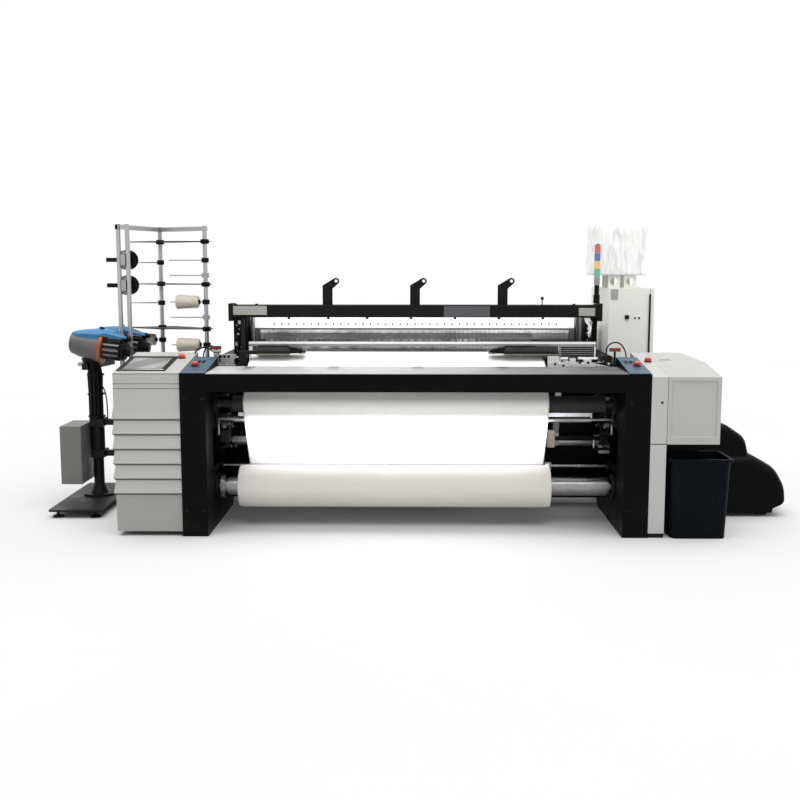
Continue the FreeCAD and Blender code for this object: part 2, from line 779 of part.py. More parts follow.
def lintel():
    """The black box beam over the healds with its end plates and three eyed lifting hooks."""
    piece = body("lintel")
    top = lintel_bottom + lintel_height
    back = lintel_front + lintel_depth
    outer = box(lintel_front, back, lintel_bottom, top)
    inner = box(lintel_front + beam_wall, back - beam_wall, lintel_bottom + beam_wall, top - beam_wall)
    pad(piece, "X", [outer, inner], -lintel_half, lintel_half)
    lug = box(lintel_front - lug_overhang, back + lug_overhang, lintel_bottom - end_plate_drop,
              top + end_plate_rise)
    for low, high in ((-lintel_half - end_plate, -lintel_half), (lintel_half, lintel_half + end_plate)):
        pad(piece, "X", [lug], low, high)
    left = -hook_pitch - hook_width / 2
    bend = top + hook_straight
    eye_x = left + hook_lean
    eye_z = bend + eye_rise
    hook = [(left, top), (left + hook_width, top), (left + hook_width, bend - hook_tip),
            (eye_x + hook_tip * 0.7, eye_z - hook_tip * 0.7), (eye_x + hook_tip, eye_z),
            (eye_x + hook_tip * 0.7, eye_z + hook_tip * 0.7), (eye_x, eye_z + hook_tip),
            (eye_x - hook_tip * 0.5, eye_z + hook_tip * 0.87), (left, bend)]
    middle = lintel_front + lintel_depth / 2
    knob = [(top, 0), (top, 3), (top + 30, 3), (top + 32, 8), (top + 40, 10), (top + 47, 6), (top + 49, 0)]
    turned(piece, "Z", (lintel_half * 0.7, middle, fixed(0)), knob, "knob")
    plate = pad(piece, "Y", [hook, ("circle", eye_x, eye_z, hook_eye)], middle, middle + hook_thickness)
    repeat(piece, plate, "X", hook_pitch * 2, 3)
    return piece


def lintel_posts():
    """The two posts under the lintel, each with the slide for the healds and a foot on the side frame."""
    piece = body("lintel_posts")
    front = lintel_front + post_setback
    back = heald_front + heald_pitch * (heald_count - 1) + heald_thickness + slide_wall
    inner = post_outer - post_width
    slide_front = heald_front - 10
    for sign, reach in ((-1, heald_left + running_gap), (1, heald_right + running_gap)):
        section = [(inner * sign, front), (post_outer * sign, front), (post_outer * sign, back),
                   (reach * sign, back), (reach * sign, slide_front), (inner * sign, slide_front)]
        foot = [(inner * sign, front), (inner_face * sign, front), (inner_face * sign, back),
                (reach * sign, back), (reach * sign, slide_front), (inner * sign, slide_front)]
        pad(piece, "Z", [section], post_foot_bottom, lintel_bottom)
        pad(piece, "Z", [foot], post_foot_bottom, frame_height - post_step)
    return piece


# -------------------------------------------------------------------------------- cabinets and covers

def on_slope(height, y):
    """The height of a sloping top at a place behind the front."""
    return height + slope * y


button_spots = {"stop_button_left": (fixed(-1333), fixed(367), cabinet_front_height),
                "start_button_left": (fixed(-1218), fixed(172), frame_height + panel_rise),
                "start_button_right": (fixed(1225), fixed(186), frame_height + panel_rise),
                "stop_button_right": (fixed(1322), fixed(355), right_front_height)}


def button_bore(piece, name):
    """The hole for a button's neck, square to the sloping top."""
    x, y, height = button_spots[name]
    z = on_slope(height, y)
    depth = button_travel * 3
    radius = button_neck + running_gap
    ends = [(y - slant_back * depth, z + slant_up * depth), (y + slant_back * depth, z - slant_up * depth)]
    walls = [(across + slant_up * radius, up + slant_back * radius) for across, up in ends]
    drawing = sketch(piece, "YZ_Plane", x)
    draw_outline(drawing, [ends[0], ends[1], walls[1], walls[0]])
    feature = piece.newObject("PartDesign::Groove", piece.Name + "_bore")
    feature.Profile = drawing
    line = drawing.addGeometry(Part.LineSegment(point(*ends[0], 0), point(*ends[1], 0)), True)
    pin_point(drawing, line, 1, *ends[0])
    pin_point(drawing, line, 2, *ends[1])
    feature.ReferenceAxis = (drawing, ["Axis0"])
    feature.Angle = 360
    piece.Tip = feature


def left_cabinet():
    """The sheet metal cabinet whose front and left side are folded into six downward pleats."""
    left, right = -left_cabinet_outer, -half_width
    back = left_cabinet_depth
    levels = [(cabinet_floor_gap, 0)]
    for index in range(pleat_count):
        fold = pleat_bottom + pleat_pitch * index
        levels.append((fold, pleat_depth * 0.15))
        levels.append((fold + pleat_pitch * 0.12, pleat_depth))
        levels.append((fold + pleat_pitch * 0.96, pleat_depth * 0.1))
    peak = cabinet_front_height + slope * back
    levels.append((peak + 10, 0))
    skins = []
    for level, bulge in levels:
        bulge = fixed(0) + bulge
        corners = [point(left + pleat_depth - bulge, pleat_depth - bulge, level),
                   point(right, pleat_depth - bulge, level), point(right, back, level),
                   point(left + pleat_depth - bulge, back, level)]
        skins.append(Part.makePolygon(corners + corners[:1]))
    solid = Part.makeLoft(skins, True, True)
    stop_x, stop_y = button_spots["stop_button_left"][:2]
    reach = 40
    stop_z = on_slope(cabinet_front_height, stop_y)
    bore_foot = point(stop_x, stop_y + slant_back * reach, stop_z - slant_up * reach)
    bore = Part.makeCylinder(number(button_neck + running_gap), reach * 2, bore_foot,
                             point(0, -slant_back, slant_up))
    past, over = 20, 200
    roof = [point(left - past, -past, cabinet_front_height - slope * past),
            point(left - past, back + past, peak + slope * past),
            point(left - past, back + past, peak + over), point(left - past, -past, peak + over)]
    across = Vector(number(right - left) + past * 2, 0, 0)
    above = Part.Face(Part.makePolygon(roof + roof[:1])).extrude(across)
    inset = pleat_depth + cover_wall
    hollow = [point(left + inset, inset, cabinet_floor_gap - 1),
              point(left + inset, back - cover_wall, cabinet_floor_gap - 1),
              point(left + inset, back - cover_wall, cabinet_front_height + slope * back - cover_wall * 2),
              point(left + inset, inset, cabinet_front_height - cover_wall)]
    inside = Part.Face(Part.makePolygon(hollow + hollow[:1]))
    inside = inside.extrude(Vector(number(right - left - inset - cover_wall), 0, 0))
    return formed("left_cabinet", solid.cut(above).cut(inside).cut(bore))


def operator_screen():
    """The touch screen in its bezel, lying on the sloping top of the left cabinet."""
    piece = body("operator_screen")
    front, back = screen_front, screen_front + screen_depth
    height = cabinet_front_height

    def band(y_low, y_high, low, high):
        return [(y_low, on_slope(height, y_low) + low), (y_high, on_slope(height, y_high) + low),
                (y_high, on_slope(height, y_high) + high), (y_low, on_slope(height, y_low) + high)]
    pad(piece, "X", [band(front, back, 0, screen_rise)], -screen_left, -screen_right)
    pocket(piece, "X", [band(front + bezel_width, back - bezel_width, screen_rise / 2, screen_rise + 2)],
           -screen_left + bezel_width, -screen_right - bezel_width)
    return piece


def corner_panels():
    """The two sloping blue panels on the front corners of the frame."""
    piece = body("corner_panels")
    front, back = panel_front, panel_front + panel_depth
    outline = [(front, frame_height), (back, frame_height), (back, on_slope(frame_height + panel_rise, back)),
               (front, on_slope(frame_height + panel_rise, front))]
    pad(piece, "X", [outline], -half_width + panel_gap, -left_panel_inner)
    pad(piece, "X", [outline], right_panel_inner, half_width - panel_gap)
    button_bore(piece, "start_button_left")
    button_bore(piece, "start_button_right")
    return piece


def right_strip_cover():
    """The narrow cover beside the right side frame, with the seam across it."""
    piece = body("right_strip_cover")
    back = right_cover_depth
    low, high = strip_left, strip_left + strip_width
    outline = [(0, cabinet_floor_gap), (back, cabinet_floor_gap), (back, on_slope(right_front_height, back)),
               (0, right_front_height)]
    pad(piece, "X", [outline], low, high)
    inner = [(cover_wall, cabinet_floor_gap - 1), (back - cover_wall, cabinet_floor_gap - 1),
             (back - cover_wall, on_slope(right_front_height, back) - cover_wall * 2),
             (cover_wall, right_front_height - cover_wall)]
    pocket(piece, "X", [inner], low + cover_wall, high - cover_wall)
    seam = right_cabinet_bottom
    pocket(piece, "X", [box(-1, 2, seam, seam + 3)], low - 1, high + 1)
    button_bore(piece, "stop_button_right")
    return piece


def right_cabinet():
    """The cover over the drive with the pressed panel in its front and a cut back corner."""
    piece = body("right_cabinet")
    left, right, back = right_cabinet_left, right_cabinet_right, right_cover_depth
    peak = on_slope(right_front_height, back)
    outline = [(0, right_cabinet_bottom), (back, right_cabinet_bottom), (back, peak), (0, right_front_height)]
    pad(piece, "X", [outline], left, right)
    inner = [(cover_wall * 3, right_cabinet_bottom - 1), (back - cover_wall, right_cabinet_bottom - 1),
             (back - cover_wall, peak - cover_wall * 2), (cover_wall * 3, right_front_height - cover_wall)]
    pocket(piece, "X", [inner], left + cover_wall, right - corner_cut - cover_wall)
    corner = [(right + 1, corner_cut_start), (right + 1, back + 1), (right - corner_cut, back + 1)]
    pocket(piece, "Z", [corner], right_cabinet_bottom - 1, peak + 1)
    panel = box(left + recess_inset, right - recess_inset, right_cabinet_bottom + recess_inset * 2,
                right_front_height - recess_inset)
    pocket(piece, "Y", [panel], -1, recess_depth)
    return piece


def electrical_cabinet():
    """The tall cabinet behind the right side, open at its front for the door, with the box brackets."""
    piece = body("electrical_cabinet")
    right = cabinet_left + cabinet_width
    front, back = cabinet_front + door_thickness + running_gap, cabinet_front + cabinet_depth
    pad(piece, "Z", [box(cabinet_left, right, front, back)], 0, cabinet_height)
    pocket(piece, "Y", [box(cabinet_left + cabinet_wall, cabinet_left + door_width - cabinet_wall,
                            door_bottom + door_margin * 2, cabinet_height - door_margin - cabinet_wall)],
           front - 1, back - cabinet_wall)
    edge = door_left + door_width + door_gap
    pad(piece, "Z", [box(edge, right, cabinet_front, front)], 0, cabinet_height)
    pad(piece, "Z", [box(cabinet_left, edge, cabinet_front, front)], 0, door_bottom)
    near = cabinet_front + box_setback * 2
    far = near + box_depth / 2
    top = cabinet_height + bracket_height
    for low in (bracket_left, bracket_left + bracket_pitch):
        plate = box(low, low + bracket_width, cabinet_height, top)
        hole = ("circle", low + bracket_width / 2, cabinet_height + bracket_height / 2, bracket_hole)
        pad(piece, "Y", [plate, hole], near, near + bracket_thickness)
        pad(piece, "Z", [box(low, low + bracket_width, near, far)], top - bracket_thickness, top)
        pad(piece, "Y", [plate], far, far + bracket_thickness)
    return piece


def cabinet_door():
    """The door with its returned edges and the hinge barrel down its right edge."""
    piece = body("electrical_cabinet_door")
    left, right = door_left, door_left + door_width
    bottom, top = door_bottom + running_gap * 2, cabinet_height - running_gap
    pad(piece, "Y", [box(left, right, bottom, top)], cabinet_front, cabinet_front + door_thickness)
    pocket(piece, "Y", [box(left + 20, right - 20, bottom + 20, top - 20)], cabinet_front + 3,
           cabinet_front + door_thickness + 1)
    turned(piece, "Z", (right - 1, cabinet_front - hinge_radius + 1, fixed(0)),
           [(bottom + 40, 0), (bottom + 40, hinge_radius), (top - 40, hinge_radius), (top - 40, 0)])
    return piece


def main_switch():
    """The square rotary switch on the cabinet door."""
    piece = body("main_switch")
    middle = cabinet_left + cabinet_width * 0.41
    half = switch_side / 2
    plate = [(middle - half, switch_height - half), (middle + half, switch_height - half),
             (middle + half, switch_height + half), (middle - half, switch_height + half)]
    pad(piece, "Y", [plate], cabinet_front - switch_reach / 2 - running_gap, cabinet_front - running_gap)
    grip = box(middle - half * 0.35, middle + half * 0.35, switch_height - half * 0.9,
               switch_height + half * 0.9)
    pad(piece, "Y", [grip], cabinet_front - switch_reach - running_gap,
        cabinet_front - switch_reach / 2 - running_gap)
    return piece


def upper_box():
    """The white housing that stands on the cabinet's brackets, with its lid seam."""
    piece = body("upper_box")
    bottom = cabinet_height + bracket_height
    front = cabinet_front + box_setback
    outline = box(box_left, box_left + box_width, front, front + box_depth)
    pad(piece, "Z", [outline], bottom, bottom + box_height)
    rounded(piece, box_round, along("Z"))
    lid = bottom + box_height * 0.8
    edge = lid_overhang
    rim = box(box_left - edge, box_left + box_width + edge, front - edge, front + box_depth + edge)
    pad(piece, "Z", [rim], lid, lid + lid_height)
    return piece


def signal_tower():
    """The black pole with its foot and the stack of lamp lenses on top."""
    piece = body("signal_tower")
    beam_top = lintel_bottom + lintel_height
    base = beam_top + end_plate_rise
    start = beam_top + tower_foot
    pole_top = beam_top + pole_height
    profile = [(base, 0), (base, tower_pole * 1.3), (start, tower_pole * 1.3), (start, tower_pole),
               (pole_top, tower_pole), (pole_top, tower_lamp * 0.9)]
    for index in range(lamp_count):
        low = pole_top + lamp_height * index
        profile += [(low + 2, tower_lamp * 0.9), (low + 2, tower_lamp), (low + lamp_height - 2, tower_lamp),
                    (low + lamp_height - 2, tower_lamp * 0.9)]
    top = pole_top + lamp_height * lamp_count
    profile += [(top, tower_lamp * 0.9), (top + 8, 0)]
    turned(piece, "Z", (tower_offset, lintel_front + lintel_depth / 2, fixed(0)), profile)
    return piece


def drive_cover_lower():
    """The rounded black hood over the belt drive, on its four pads."""
    piece = body("drive_cover_lower")
    back = drive_front + drive_depth
    pad(piece, "X", [box(drive_front, back, drive_foot, drive_height)], drive_left, drive_right)
    rounded(piece, drive_round, lambda edge: (along("X")(edge) and edge.CenterOfMass.z > 100)
            or (edge.CenterOfMass.x > 2000 and edge.CenterOfMass.z > 150), "crown")
    pads = [box(x, x + 60, y, y + 60) for x in (drive_left + 120, drive_right - 150)
            for y in (drive_front + 60, back - 120)]
    pad(piece, "Z", pads, 0, drive_foot)
    return piece


def drive_cover_upper():
    """The smaller hood that stands on the lower one beside the right cabinet."""
    piece = body("drive_cover_upper")
    front = drive_front + 30
    pad(piece, "Z", [box(upper_left, upper_right, front, front + upper_depth)], drive_height,
        drive_height + upper_height)
    rounded(piece, upper_round, lambda edge: edge.CenterOfMass.z > number(drive_height) + 20)
    return piece


def waste_bin():
    """The tapered bin with round corners and a rolled out rim, open at the top."""
    half = bin_width / 2
    front, back = bin_front, bin_front + bin_depth

    def ring(level, inset, wall=0.0):
        total = fixed(0) + inset + wall
        return round_rectangle(bin_middle - half + total, bin_middle + half - total, front + total,
                               back - total, level, bin_corner - wall)
    outside = Part.makeLoft([ring(0, bin_taper), ring(bin_height, bin_rim)], True, True)
    rim = Part.Face(ring(bin_height - bin_rim, 0)).extrude(Vector(0, 0, number(bin_rim)))
    inside = Part.makeLoft([ring(bin_wall, bin_taper, bin_wall), ring(bin_height + 1, bin_rim, bin_wall)],
                           True, True)
    return formed("waste_bin", outside.fuse(rim).cut(inside))


# ------------------------------------------------------------------------------------ weft feeder stand

def stand_base():
    """The heavy base plate on four levelling feet."""
    piece = body("feeder_base")
    left, right = -base_left, -base_right
    front, back = base_front, base_front + base_depth
    narrow = right - base_notch
    plate = [(left, front), (right, front), (right, base_notch_front), (narrow, base_notch_front),
             (narrow, back), (left, back)]
    pad(piece, "Z", [plate], base_top - base_thickness, base_top)
    rounded(piece, 14, along("Z"))
    for y, ends in ((front + foot_inset, (left, right)), (back - foot_inset, (left, narrow))):
        for x in (ends[0] + foot_inset, ends[1] - foot_inset):
            turned(piece, "Z", (x, y, fixed(0)),
                   [(fixed(0), 0), (fixed(0), foot_radius), (fixed(8), foot_radius), (fixed(16), stem_radius),
                    (base_top - base_thickness, stem_radius), (base_top - base_thickness, 0)])
    return piece


def foot_x(y):
    """Where the feeders' feet stand across the rail, which runs askew under both of them."""
    share = feeder_pitch_x / feeder_pitch_y
    return -feeder_x - disc_width / 2 - motor_length * 0.45 + (fixed(0) + y - feeder_y) * share


def stand_post():
    """The post on its foot, with the sleeve, the two clamps that tie it to the loom and the top rail."""
    piece = body("feeder_post")
    x, y = -stand_x, stand_y
    profile = [(base_top, 0), (base_top, stand_radius * 3), (base_top + 12, stand_radius * 3),
               (base_top + 12, stand_radius * 1.7), (base_top + 70, stand_radius),
               (lower_clamp + clamp_height, stand_radius), (lower_clamp + clamp_height, sleeve_radius),
               (upper_clamp, sleeve_radius), (upper_clamp, stand_radius), (stand_top, stand_radius),
               (stand_top, 0)]
    turned(piece, "Z", (x, y, fixed(0)), profile)
    half = clamp_side / 2
    for level in (lower_clamp, upper_clamp):
        block = box(x - stand_radius + 1, x + half, y - half, y + half)
        pad(piece, "Z", [block], level, level + clamp_height)
        bar = box(y - arm_side / 2, y + arm_side / 2, level + 5, level + 5 + arm_side)
        pad(piece, "X", [bar], x + half, -half_width)
    front, back = feeder_y - 50, feeder_y + feeder_pitch_y + 50
    near, far = foot_x(front) - arm_side / 2, foot_x(back) - arm_side / 2
    rail = [(near, front), (near + arm_side, front), (far + arm_side, back), (far, back)]
    pad(piece, "Z", [rail], stand_top, stand_top + arm_side)
    return piece


def feeder_box():
    """The grey power box that hangs on the post, with its lid line."""
    piece = body("feeder_box")
    right = -stand_x - sleeve_radius - running_gap
    left = right - feeder_box_width
    front, back = feeder_box_front, feeder_box_front + feeder_box_depth
    top = feeder_box_bottom + feeder_box_height
    pad(piece, "Z", [box(left, right, front, back)], feeder_box_bottom, top)
    near, far = front + 30, front + 33
    groove = [box(left - 1, left + 1.5, near, far), box(right - 1.5, right + 1, near, far)]
    pocket(piece, "Z", groove, feeder_box_bottom - 1, top + 1)
    return piece


feeder_spots = [("front", -feeder_x, feeder_y),
                ("rear", -feeder_x + feeder_pitch_x, feeder_y + feeder_pitch_y)]


def on_feeders(make_one):
    """Two like solids, one on each feeder's dipping axis."""
    solids = []
    for name, x, y in feeder_spots:
        solid = make_one()
        solid.Placement = FreeCAD.Placement(point(x, y, feeder_z),
                                            FreeCAD.Rotation(Vector(0, 1, 0), number(feeder_dip)))
        solids.append(solid)
    return solids


def spun(profile):
    """Revolves (place along X, radius) points about the X axis."""
    corners = [Vector(number(along_x), 0, number(radius)) for along_x, radius in profile]
    return Part.Face(Part.makePolygon(corners + corners[:1])).revolve(Vector(0, 0, 0), Vector(1, 0, 0), 360)


def oval(x, half_y, z_low, z_high):
    """A closed four arc section square to X, flatter below than above."""
    x, half_y, z_low, z_high = [number(size) for size in (x, half_y, z_low, z_high)]
    middle = (z_low + z_high) / 2
    spots = [Vector(x, 0, z_low), Vector(x, half_y, middle), Vector(x, 0, z_high), Vector(x, -half_y, middle)]
    edges = []
    for index in range(4):
        start, end = spots[index], spots[(index + 1) % 4]
        bulge = (start + end) * 0.5
        out = bulge - Vector(x, 0, middle)
        edges.append(Part.Arc(start, Vector(x, 0, middle) + out * 1.38, end).toShape())
    return Part.Wire(edges)


def motor_housing():
    """The swelling motor housing with its flat belly: each row is a place and its section's half size."""
    back = -disc_width / 2 - running_gap
    rows = [(1.0, 0.62, 0.45, 0.74), (0.96, 0.70, 0.54, 0.80), (0.72, 0.80, 0.70, 0.85),
            (0.45, 0.87, 0.81, 0.87), (0.0, 0.94, 0.94, 0.88)]
    return Part.makeLoft([oval(back - motor_length * share, disc_radius * half, -disc_radius * low,
                               disc_radius * high) for share, half, low, high in rows], True, True)


def feeder_housings():
    """Both motor housings, each with the foot that stands upright on the post's rail."""
    solids = []
    low = stand_top + arm_side
    long, wide = 60, 34
    for shell, (name, x, y) in zip(on_feeders(motor_housing), feeder_spots):
        corner = point(foot_x(y) - long / 2, y - wide / 2, low)
        foot = Part.makeBox(long, wide, number(feeder_z - disc_radius * 0.5 - low), corner)
        solids.append(shell.fuse(foot))
    return formed("feeder_housings", Part.makeCompound(solids))


def arch(x, half, low, high):
    """A crowned section of the hood, square to X."""
    shoulder = low + (high - low) * 0.5
    corners = [(-half, low), (-half, shoulder), (-half * 0.72, high - (high - low) * 0.14),
               (-half * 0.3, high)]
    corners += [(-y, z) for y, z in reversed(corners)]
    spots = [point(x, y, z) for y, z in corners]
    return Part.makePolygon(spots + spots[:1])


def hood():
    """The blue hood that wraps the housing's top, bridges the disc and reaches over the drum as an arm.

    Each row gives a place along the feeder's axis, half the width and the lower and upper edge.
    """
    side = disc_width / 2 + 4
    rear, nose = -disc_width / 2 - motor_length * 0.98, disc_width / 2 + drum_length + nose_length * 0.5
    rows = [(rear, 0.34, 0.66, 0.82), (rear * 0.8, 0.56, 0.60, 0.98), (rear * 0.45, 0.64, 0.58, 1.13),
            (-side, 0.64, 0.58, 1.22), (side, 0.60, 0.80, 1.24), (nose * 0.45, 0.50, 0.76, 1.14),
            (nose * 0.8, 0.40, 0.76, 1.0), (nose, 0.26, 0.80, 0.93)]
    shell = Part.makeLoft([arch(x, disc_radius * half, disc_radius * low, disc_radius * high)
                           for x, half, low, high in rows], True, True)
    clear = Part.makeCylinder(number(disc_radius) + 2, number(side * 2), point(-side, 0, 0), Vector(1, 0, 0))
    return shell.cut(motor_housing()).cut(clear)


def drum():
    """The still drum with its ribs, the brush ring and the nose ring."""
    start = disc_width / 2 + running_gap
    end = start + drum_length
    tip = end + nose_length
    core = spun([(start, 0), (start, drum_radius - drum_rib), (end, drum_radius - drum_rib - 6),
                 (end, nose_radius), (end + nose_length * 0.3, nose_radius + 8),
                 (end + nose_length * 0.55, nose_radius), (end + nose_length * 0.6, nose_radius * 0.7),
                 (tip, nose_radius * 0.55), (tip, 0)])
    ribs = []
    for count in range(drum_rib_count):
        rib = Part.makeBox(number(drum_length) - 6, 14, number(drum_rib * 2),
                           point(start + 2, -7, drum_radius - drum_rib * 2))
        rib.rotate(Vector(0, 0, 0), Vector(1, 0, 0), 360.0 * count / drum_rib_count)
        ribs.append(rib)
    return core.multiFuse(ribs)


def feeder_disc(name, x, y):
    """The orange winding disc that turns between housing and drum."""
    piece = body("feeder_disc_" + name, x=x, y=y, z=feeder_z, dip=(Vector(0, 1, 0), feeder_dip))
    half = disc_width / 2
    profile = [(-half, 0), (-half, disc_radius - 4), (-half + 4, disc_radius), (half - 4, disc_radius),
               (half, disc_radius - 4), (half, 0)]
    turned(piece, "X", (fixed(0), fixed(0), fixed(0)), profile)
    slot = [(-disc_radius * 0.12, disc_radius * 0.62), (disc_radius * 0.12, disc_radius * 0.62),
            (disc_radius * 0.12, disc_radius * 0.86), (-disc_radius * 0.12, disc_radius * 0.86)]
    pocket(piece, "X", [slot], -half - 1, half + 1)
    return piece


# ------------------------------------------------------------------------------------------ creel

creel_posts = [(-creel_left_x - creel_pair / 2, creel_left_y), (-creel_left_x + creel_pair / 2, creel_left_y),
               (-creel_mid_x, creel_mid_y), (-creel_right_x, creel_right_y)]
spool_front = creel_left_y + creel_tube + spool_stand


def creel_frame():
    """Four tubes, the cranked bar over them and the base rails that they stand on."""
    piece = body("creel_frame")
    for x, y in creel_posts:
        turned(piece, "Z", (x, y, fixed(0)), [(creel_base_height, 0), (creel_base_height, creel_tube),
                                              (creel_top, creel_tube), (creel_top, 0)])
    joints = [creel_posts[0], creel_posts[2], creel_posts[3]]
    (left, front), right = creel_posts[0], creel_posts[1][0]
    bars = ((fixed(0), creel_base_height, creel_base_width), (creel_top, creel_top + creel_bar, creel_bar))
    for low, high, width in bars:
        half = width / 2
        pad(piece, "Z", [box(left - half, right + half, front - half, front + half)], low, high)
        for start, end in zip(joints[:-1], joints[1:]):
            run = Vector(number(end[0] - start[0]), number(end[1] - start[1]), 0).normalize()
            side = Vector(-run.y, run.x, 0)
            past = half.value
            first = [(start[0] + past * (side.x - run.x), start[1] + past * (side.y - run.y)),
                     (start[0] - past * (side.x + run.x), start[1] - past * (side.y + run.y)),
                     (end[0] - past * (side.x - run.x), end[1] - past * (side.y - run.y)),
                     (end[0] + past * (side.x + run.x), end[1] + past * (side.y + run.y))]
            pad(piece, "Z", [first], low, high)
    return piece


def creel_trays():
    """Three long six-sided trays that keep the running yarns apart, threaded on two posts."""
    piece = body("creel_trays")
    mid_x, mid_y = creel_posts[2]
    end_x, end_y = creel_posts[3]
    half = tray_depth / 2
    outline = [(mid_x - tray_reach, mid_y - 60), (mid_x, mid_y - half), (mid_x + 120, mid_y - half - 20),
               (end_x + 34, end_y - 40), (end_x + 34, end_y + 40), (mid_x + 60, mid_y + half / 2),
               (mid_x - tray_reach, mid_y - 20)]
    holes = [("circle", x, y, creel_tube + running_gap) for x, y in creel_posts[2:]]
    for level in tray_heights:
        pad(piece, "Z", [outline] + holes, level, level + tray_thickness)
    return piece


holder_levels = [(2, 1496), (2, 1228), (3, 1510), (3, 1412), (3, 1240), (3, 1140), (2, 980), (3, 960)]


def creel_holders():
    """The clamps on the posts with their pegs, and the blocks that carry the two cord spools."""
    piece = body("creel_holders")
    inner = creel_tube + running_gap
    for post, level in holder_levels:
        x, y = creel_posts[post]
        low, high = fixed(level) - holder_height / 2, fixed(level) + holder_height / 2
        turned(piece, "Z", (x, y, fixed(0)),
               [(low, inner), (low, holder_radius), (high, holder_radius), (high, inner)])
        reach = cone_length + cone_stand + peg_spare
        start = x - holder_radius + 2
        turned(piece, "X", (fixed(0), y, fixed(level)), [(start - reach, 0), (start - reach, peg_radius),
                                                         (start, peg_radius), (start, 0)])
    left_x, left_y = creel_posts[0]
    right_x = creel_posts[1][0]
    front = left_y + inner
    back = front + spool_block_depth
    tail = spool_front + spool_width + 8
    half = handle_height / 2
    for level in spool_heights:
        block = box(left_x - 10, right_x + 10, level - spool_block / 2, level + spool_block / 2)
        pad(piece, "Y", [block], front, back)
        grip = box(left_x - 10 - handle_reach, left_x - 9, level - half, level + half)
        pad(piece, "Y", [grip], front + 4, back - 4)
        clamp = box(left_x + inner, right_x - inner, level - spool_block * 0.3, level + spool_block * 0.3)
        pad(piece, "Y", [clamp], left_y - creel_tube - 4, front + 1)
        turned(piece, "Y", (-creel_left_x, fixed(0), level),
               [(back - 1, 0), (back - 1, spool_pin), (tail, spool_pin), (tail, 0)])
    return piece


def cord_spool(label, level):
    """A flanged spool that turns on its pin beside the creel's left posts."""
    piece = body(label)
    start, end = spool_front, spool_front + spool_width
    bore, core, wall = spool_pin + running_gap, spool_radius * 0.4, 5
    profile = [(start, bore), (start, spool_radius), (start + wall, spool_radius), (start + wall, core),
               (end - wall, core), (end - wall, spool_radius), (end, spool_radius), (end, bore)]
    turned(piece, "Y", (-creel_left_x, fixed(0), level), profile)
    return piece


cone_spots = [(3, 1240), (3, 960), (2, 980)]


def yarn_cones():
    """The wound packages on their pegs, big end towards the weaver's left."""
    piece = body("yarn_cones")
    bore = peg_radius + running_gap
    for post, level in cone_spots:
        x, y = creel_posts[post]
        end = x - holder_radius - cone_stand
        start = end - cone_length
        profile = [(start, bore), (start, cone_big - 8), (start + 8, cone_big), (end - 8, cone_small),
                   (end, cone_small - 8), (end, cone_bore), (end + 9, cone_bore), (end + 9, bore)]
        turned(piece, "X", (fixed(0), y, fixed(level)), profile)
    return piece


# ------------------------------------------------------------------------- the way of cloth and warp

def web_strip(stations, thickness, low, high):
    """A thin web that runs taut from the first station to the last.

    A station is (y, z, radius, side): side is 1 where its round lies left of the way, else -1.
    """
    places = [[number(size) for size in station] for station in stations]
    headings = []
    for (y1, z1, radius1, side1), (y2, z2, radius2, side2) in zip(places[:-1], places[1:]):
        distance = math.hypot(y2 - y1, z2 - z1)
        offset = side2 * radius2 - side1 * radius1
        headings.append(math.atan2(z2 - z1, y2 - y1) - math.asin(offset / distance))

    def spot(station, heading, shift):
        y, z, radius, side = station
        out = shift - side * radius
        return Vector(number(low), y - math.sin(heading) * out, z + math.cos(heading) * out)

    walls = []
    for shift in (-number(thickness) / 2, number(thickness) / 2):
        edges = []
        for index, heading in enumerate(headings):
            start = spot(places[index], heading, shift)
            if index > 0:
                before = headings[index - 1]
                side = places[index][3]
                turn = side * ((side * (heading - before)) % (2 * math.pi))
                middle = spot(places[index], before + turn / 2, shift)
                edges.append(Part.Arc(spot(places[index], before, shift), middle, start).toShape())
            edges.append(Part.LineSegment(start, spot(places[index + 1], heading, shift)).toShape())
        walls.append(edges)
    first = [spot(places[0], headings[0], side * number(thickness) / 2) for side in (-1, 1)]
    last = [spot(places[-1], headings[-1], side * number(thickness) / 2) for side in (-1, 1)]
    ends = [Part.LineSegment(*first).toShape(), Part.LineSegment(*last).toShape()]
    wire = Part.Wire(Part.__sortEdges__(walls[0] + walls[1] + ends))
    return Part.Face(wire).extrude(Vector(number(high - low), 0, 0))


def cloth_web():
    """The cloth over the guide, round the take-up and press rollers, behind the rod and onto its roll."""
    lift = running_gap + cloth_thickness / 2
    stations = [(fell_y, fell_z, 0, 1), (guide_y, guide_z, guide_radius + lift, 1),
                (take_up_y, take_up_z, take_up_radius + lift, 1), (press_y, press_z, press_radius + lift, 1),
                (rod_y, rod_z, rod_radius + lift, -1), (roll_y, roll_z, roll_radius + lift, -1)]
    return formed("cloth_web", web_strip(stations, cloth_thickness, -cloth_left, cloth_right))


def warp_sheet():
    """The warp from its beam over the back rest roller and through the stop motion to the healds."""
    lift = running_gap + warp_thickness / 2
    stations = [(beam_y, beam_z, warp_radius + lift, 1), (rest_y, rest_z, rest_radius + lift, 1),
                (warp_front, warp_front_z, 0, 1)]
    return formed("warp_sheet", web_strip(stations, warp_thickness, -warp_left + 10, warp_right - 9))


def cloth_guides():
    """The fixed bar that the cloth bends over and the thin rod before the cloth roll."""
    piece = body("cloth_guides")
    for y, z, radius in ((guide_y, guide_z, guide_radius), (rod_y, rod_z, rod_radius)):
        turned(piece, "X", (fixed(0), y, z), [(-inner_face, 0), (-inner_face, radius), (inner_face, radius),
                                              (inner_face, 0)])
    return piece


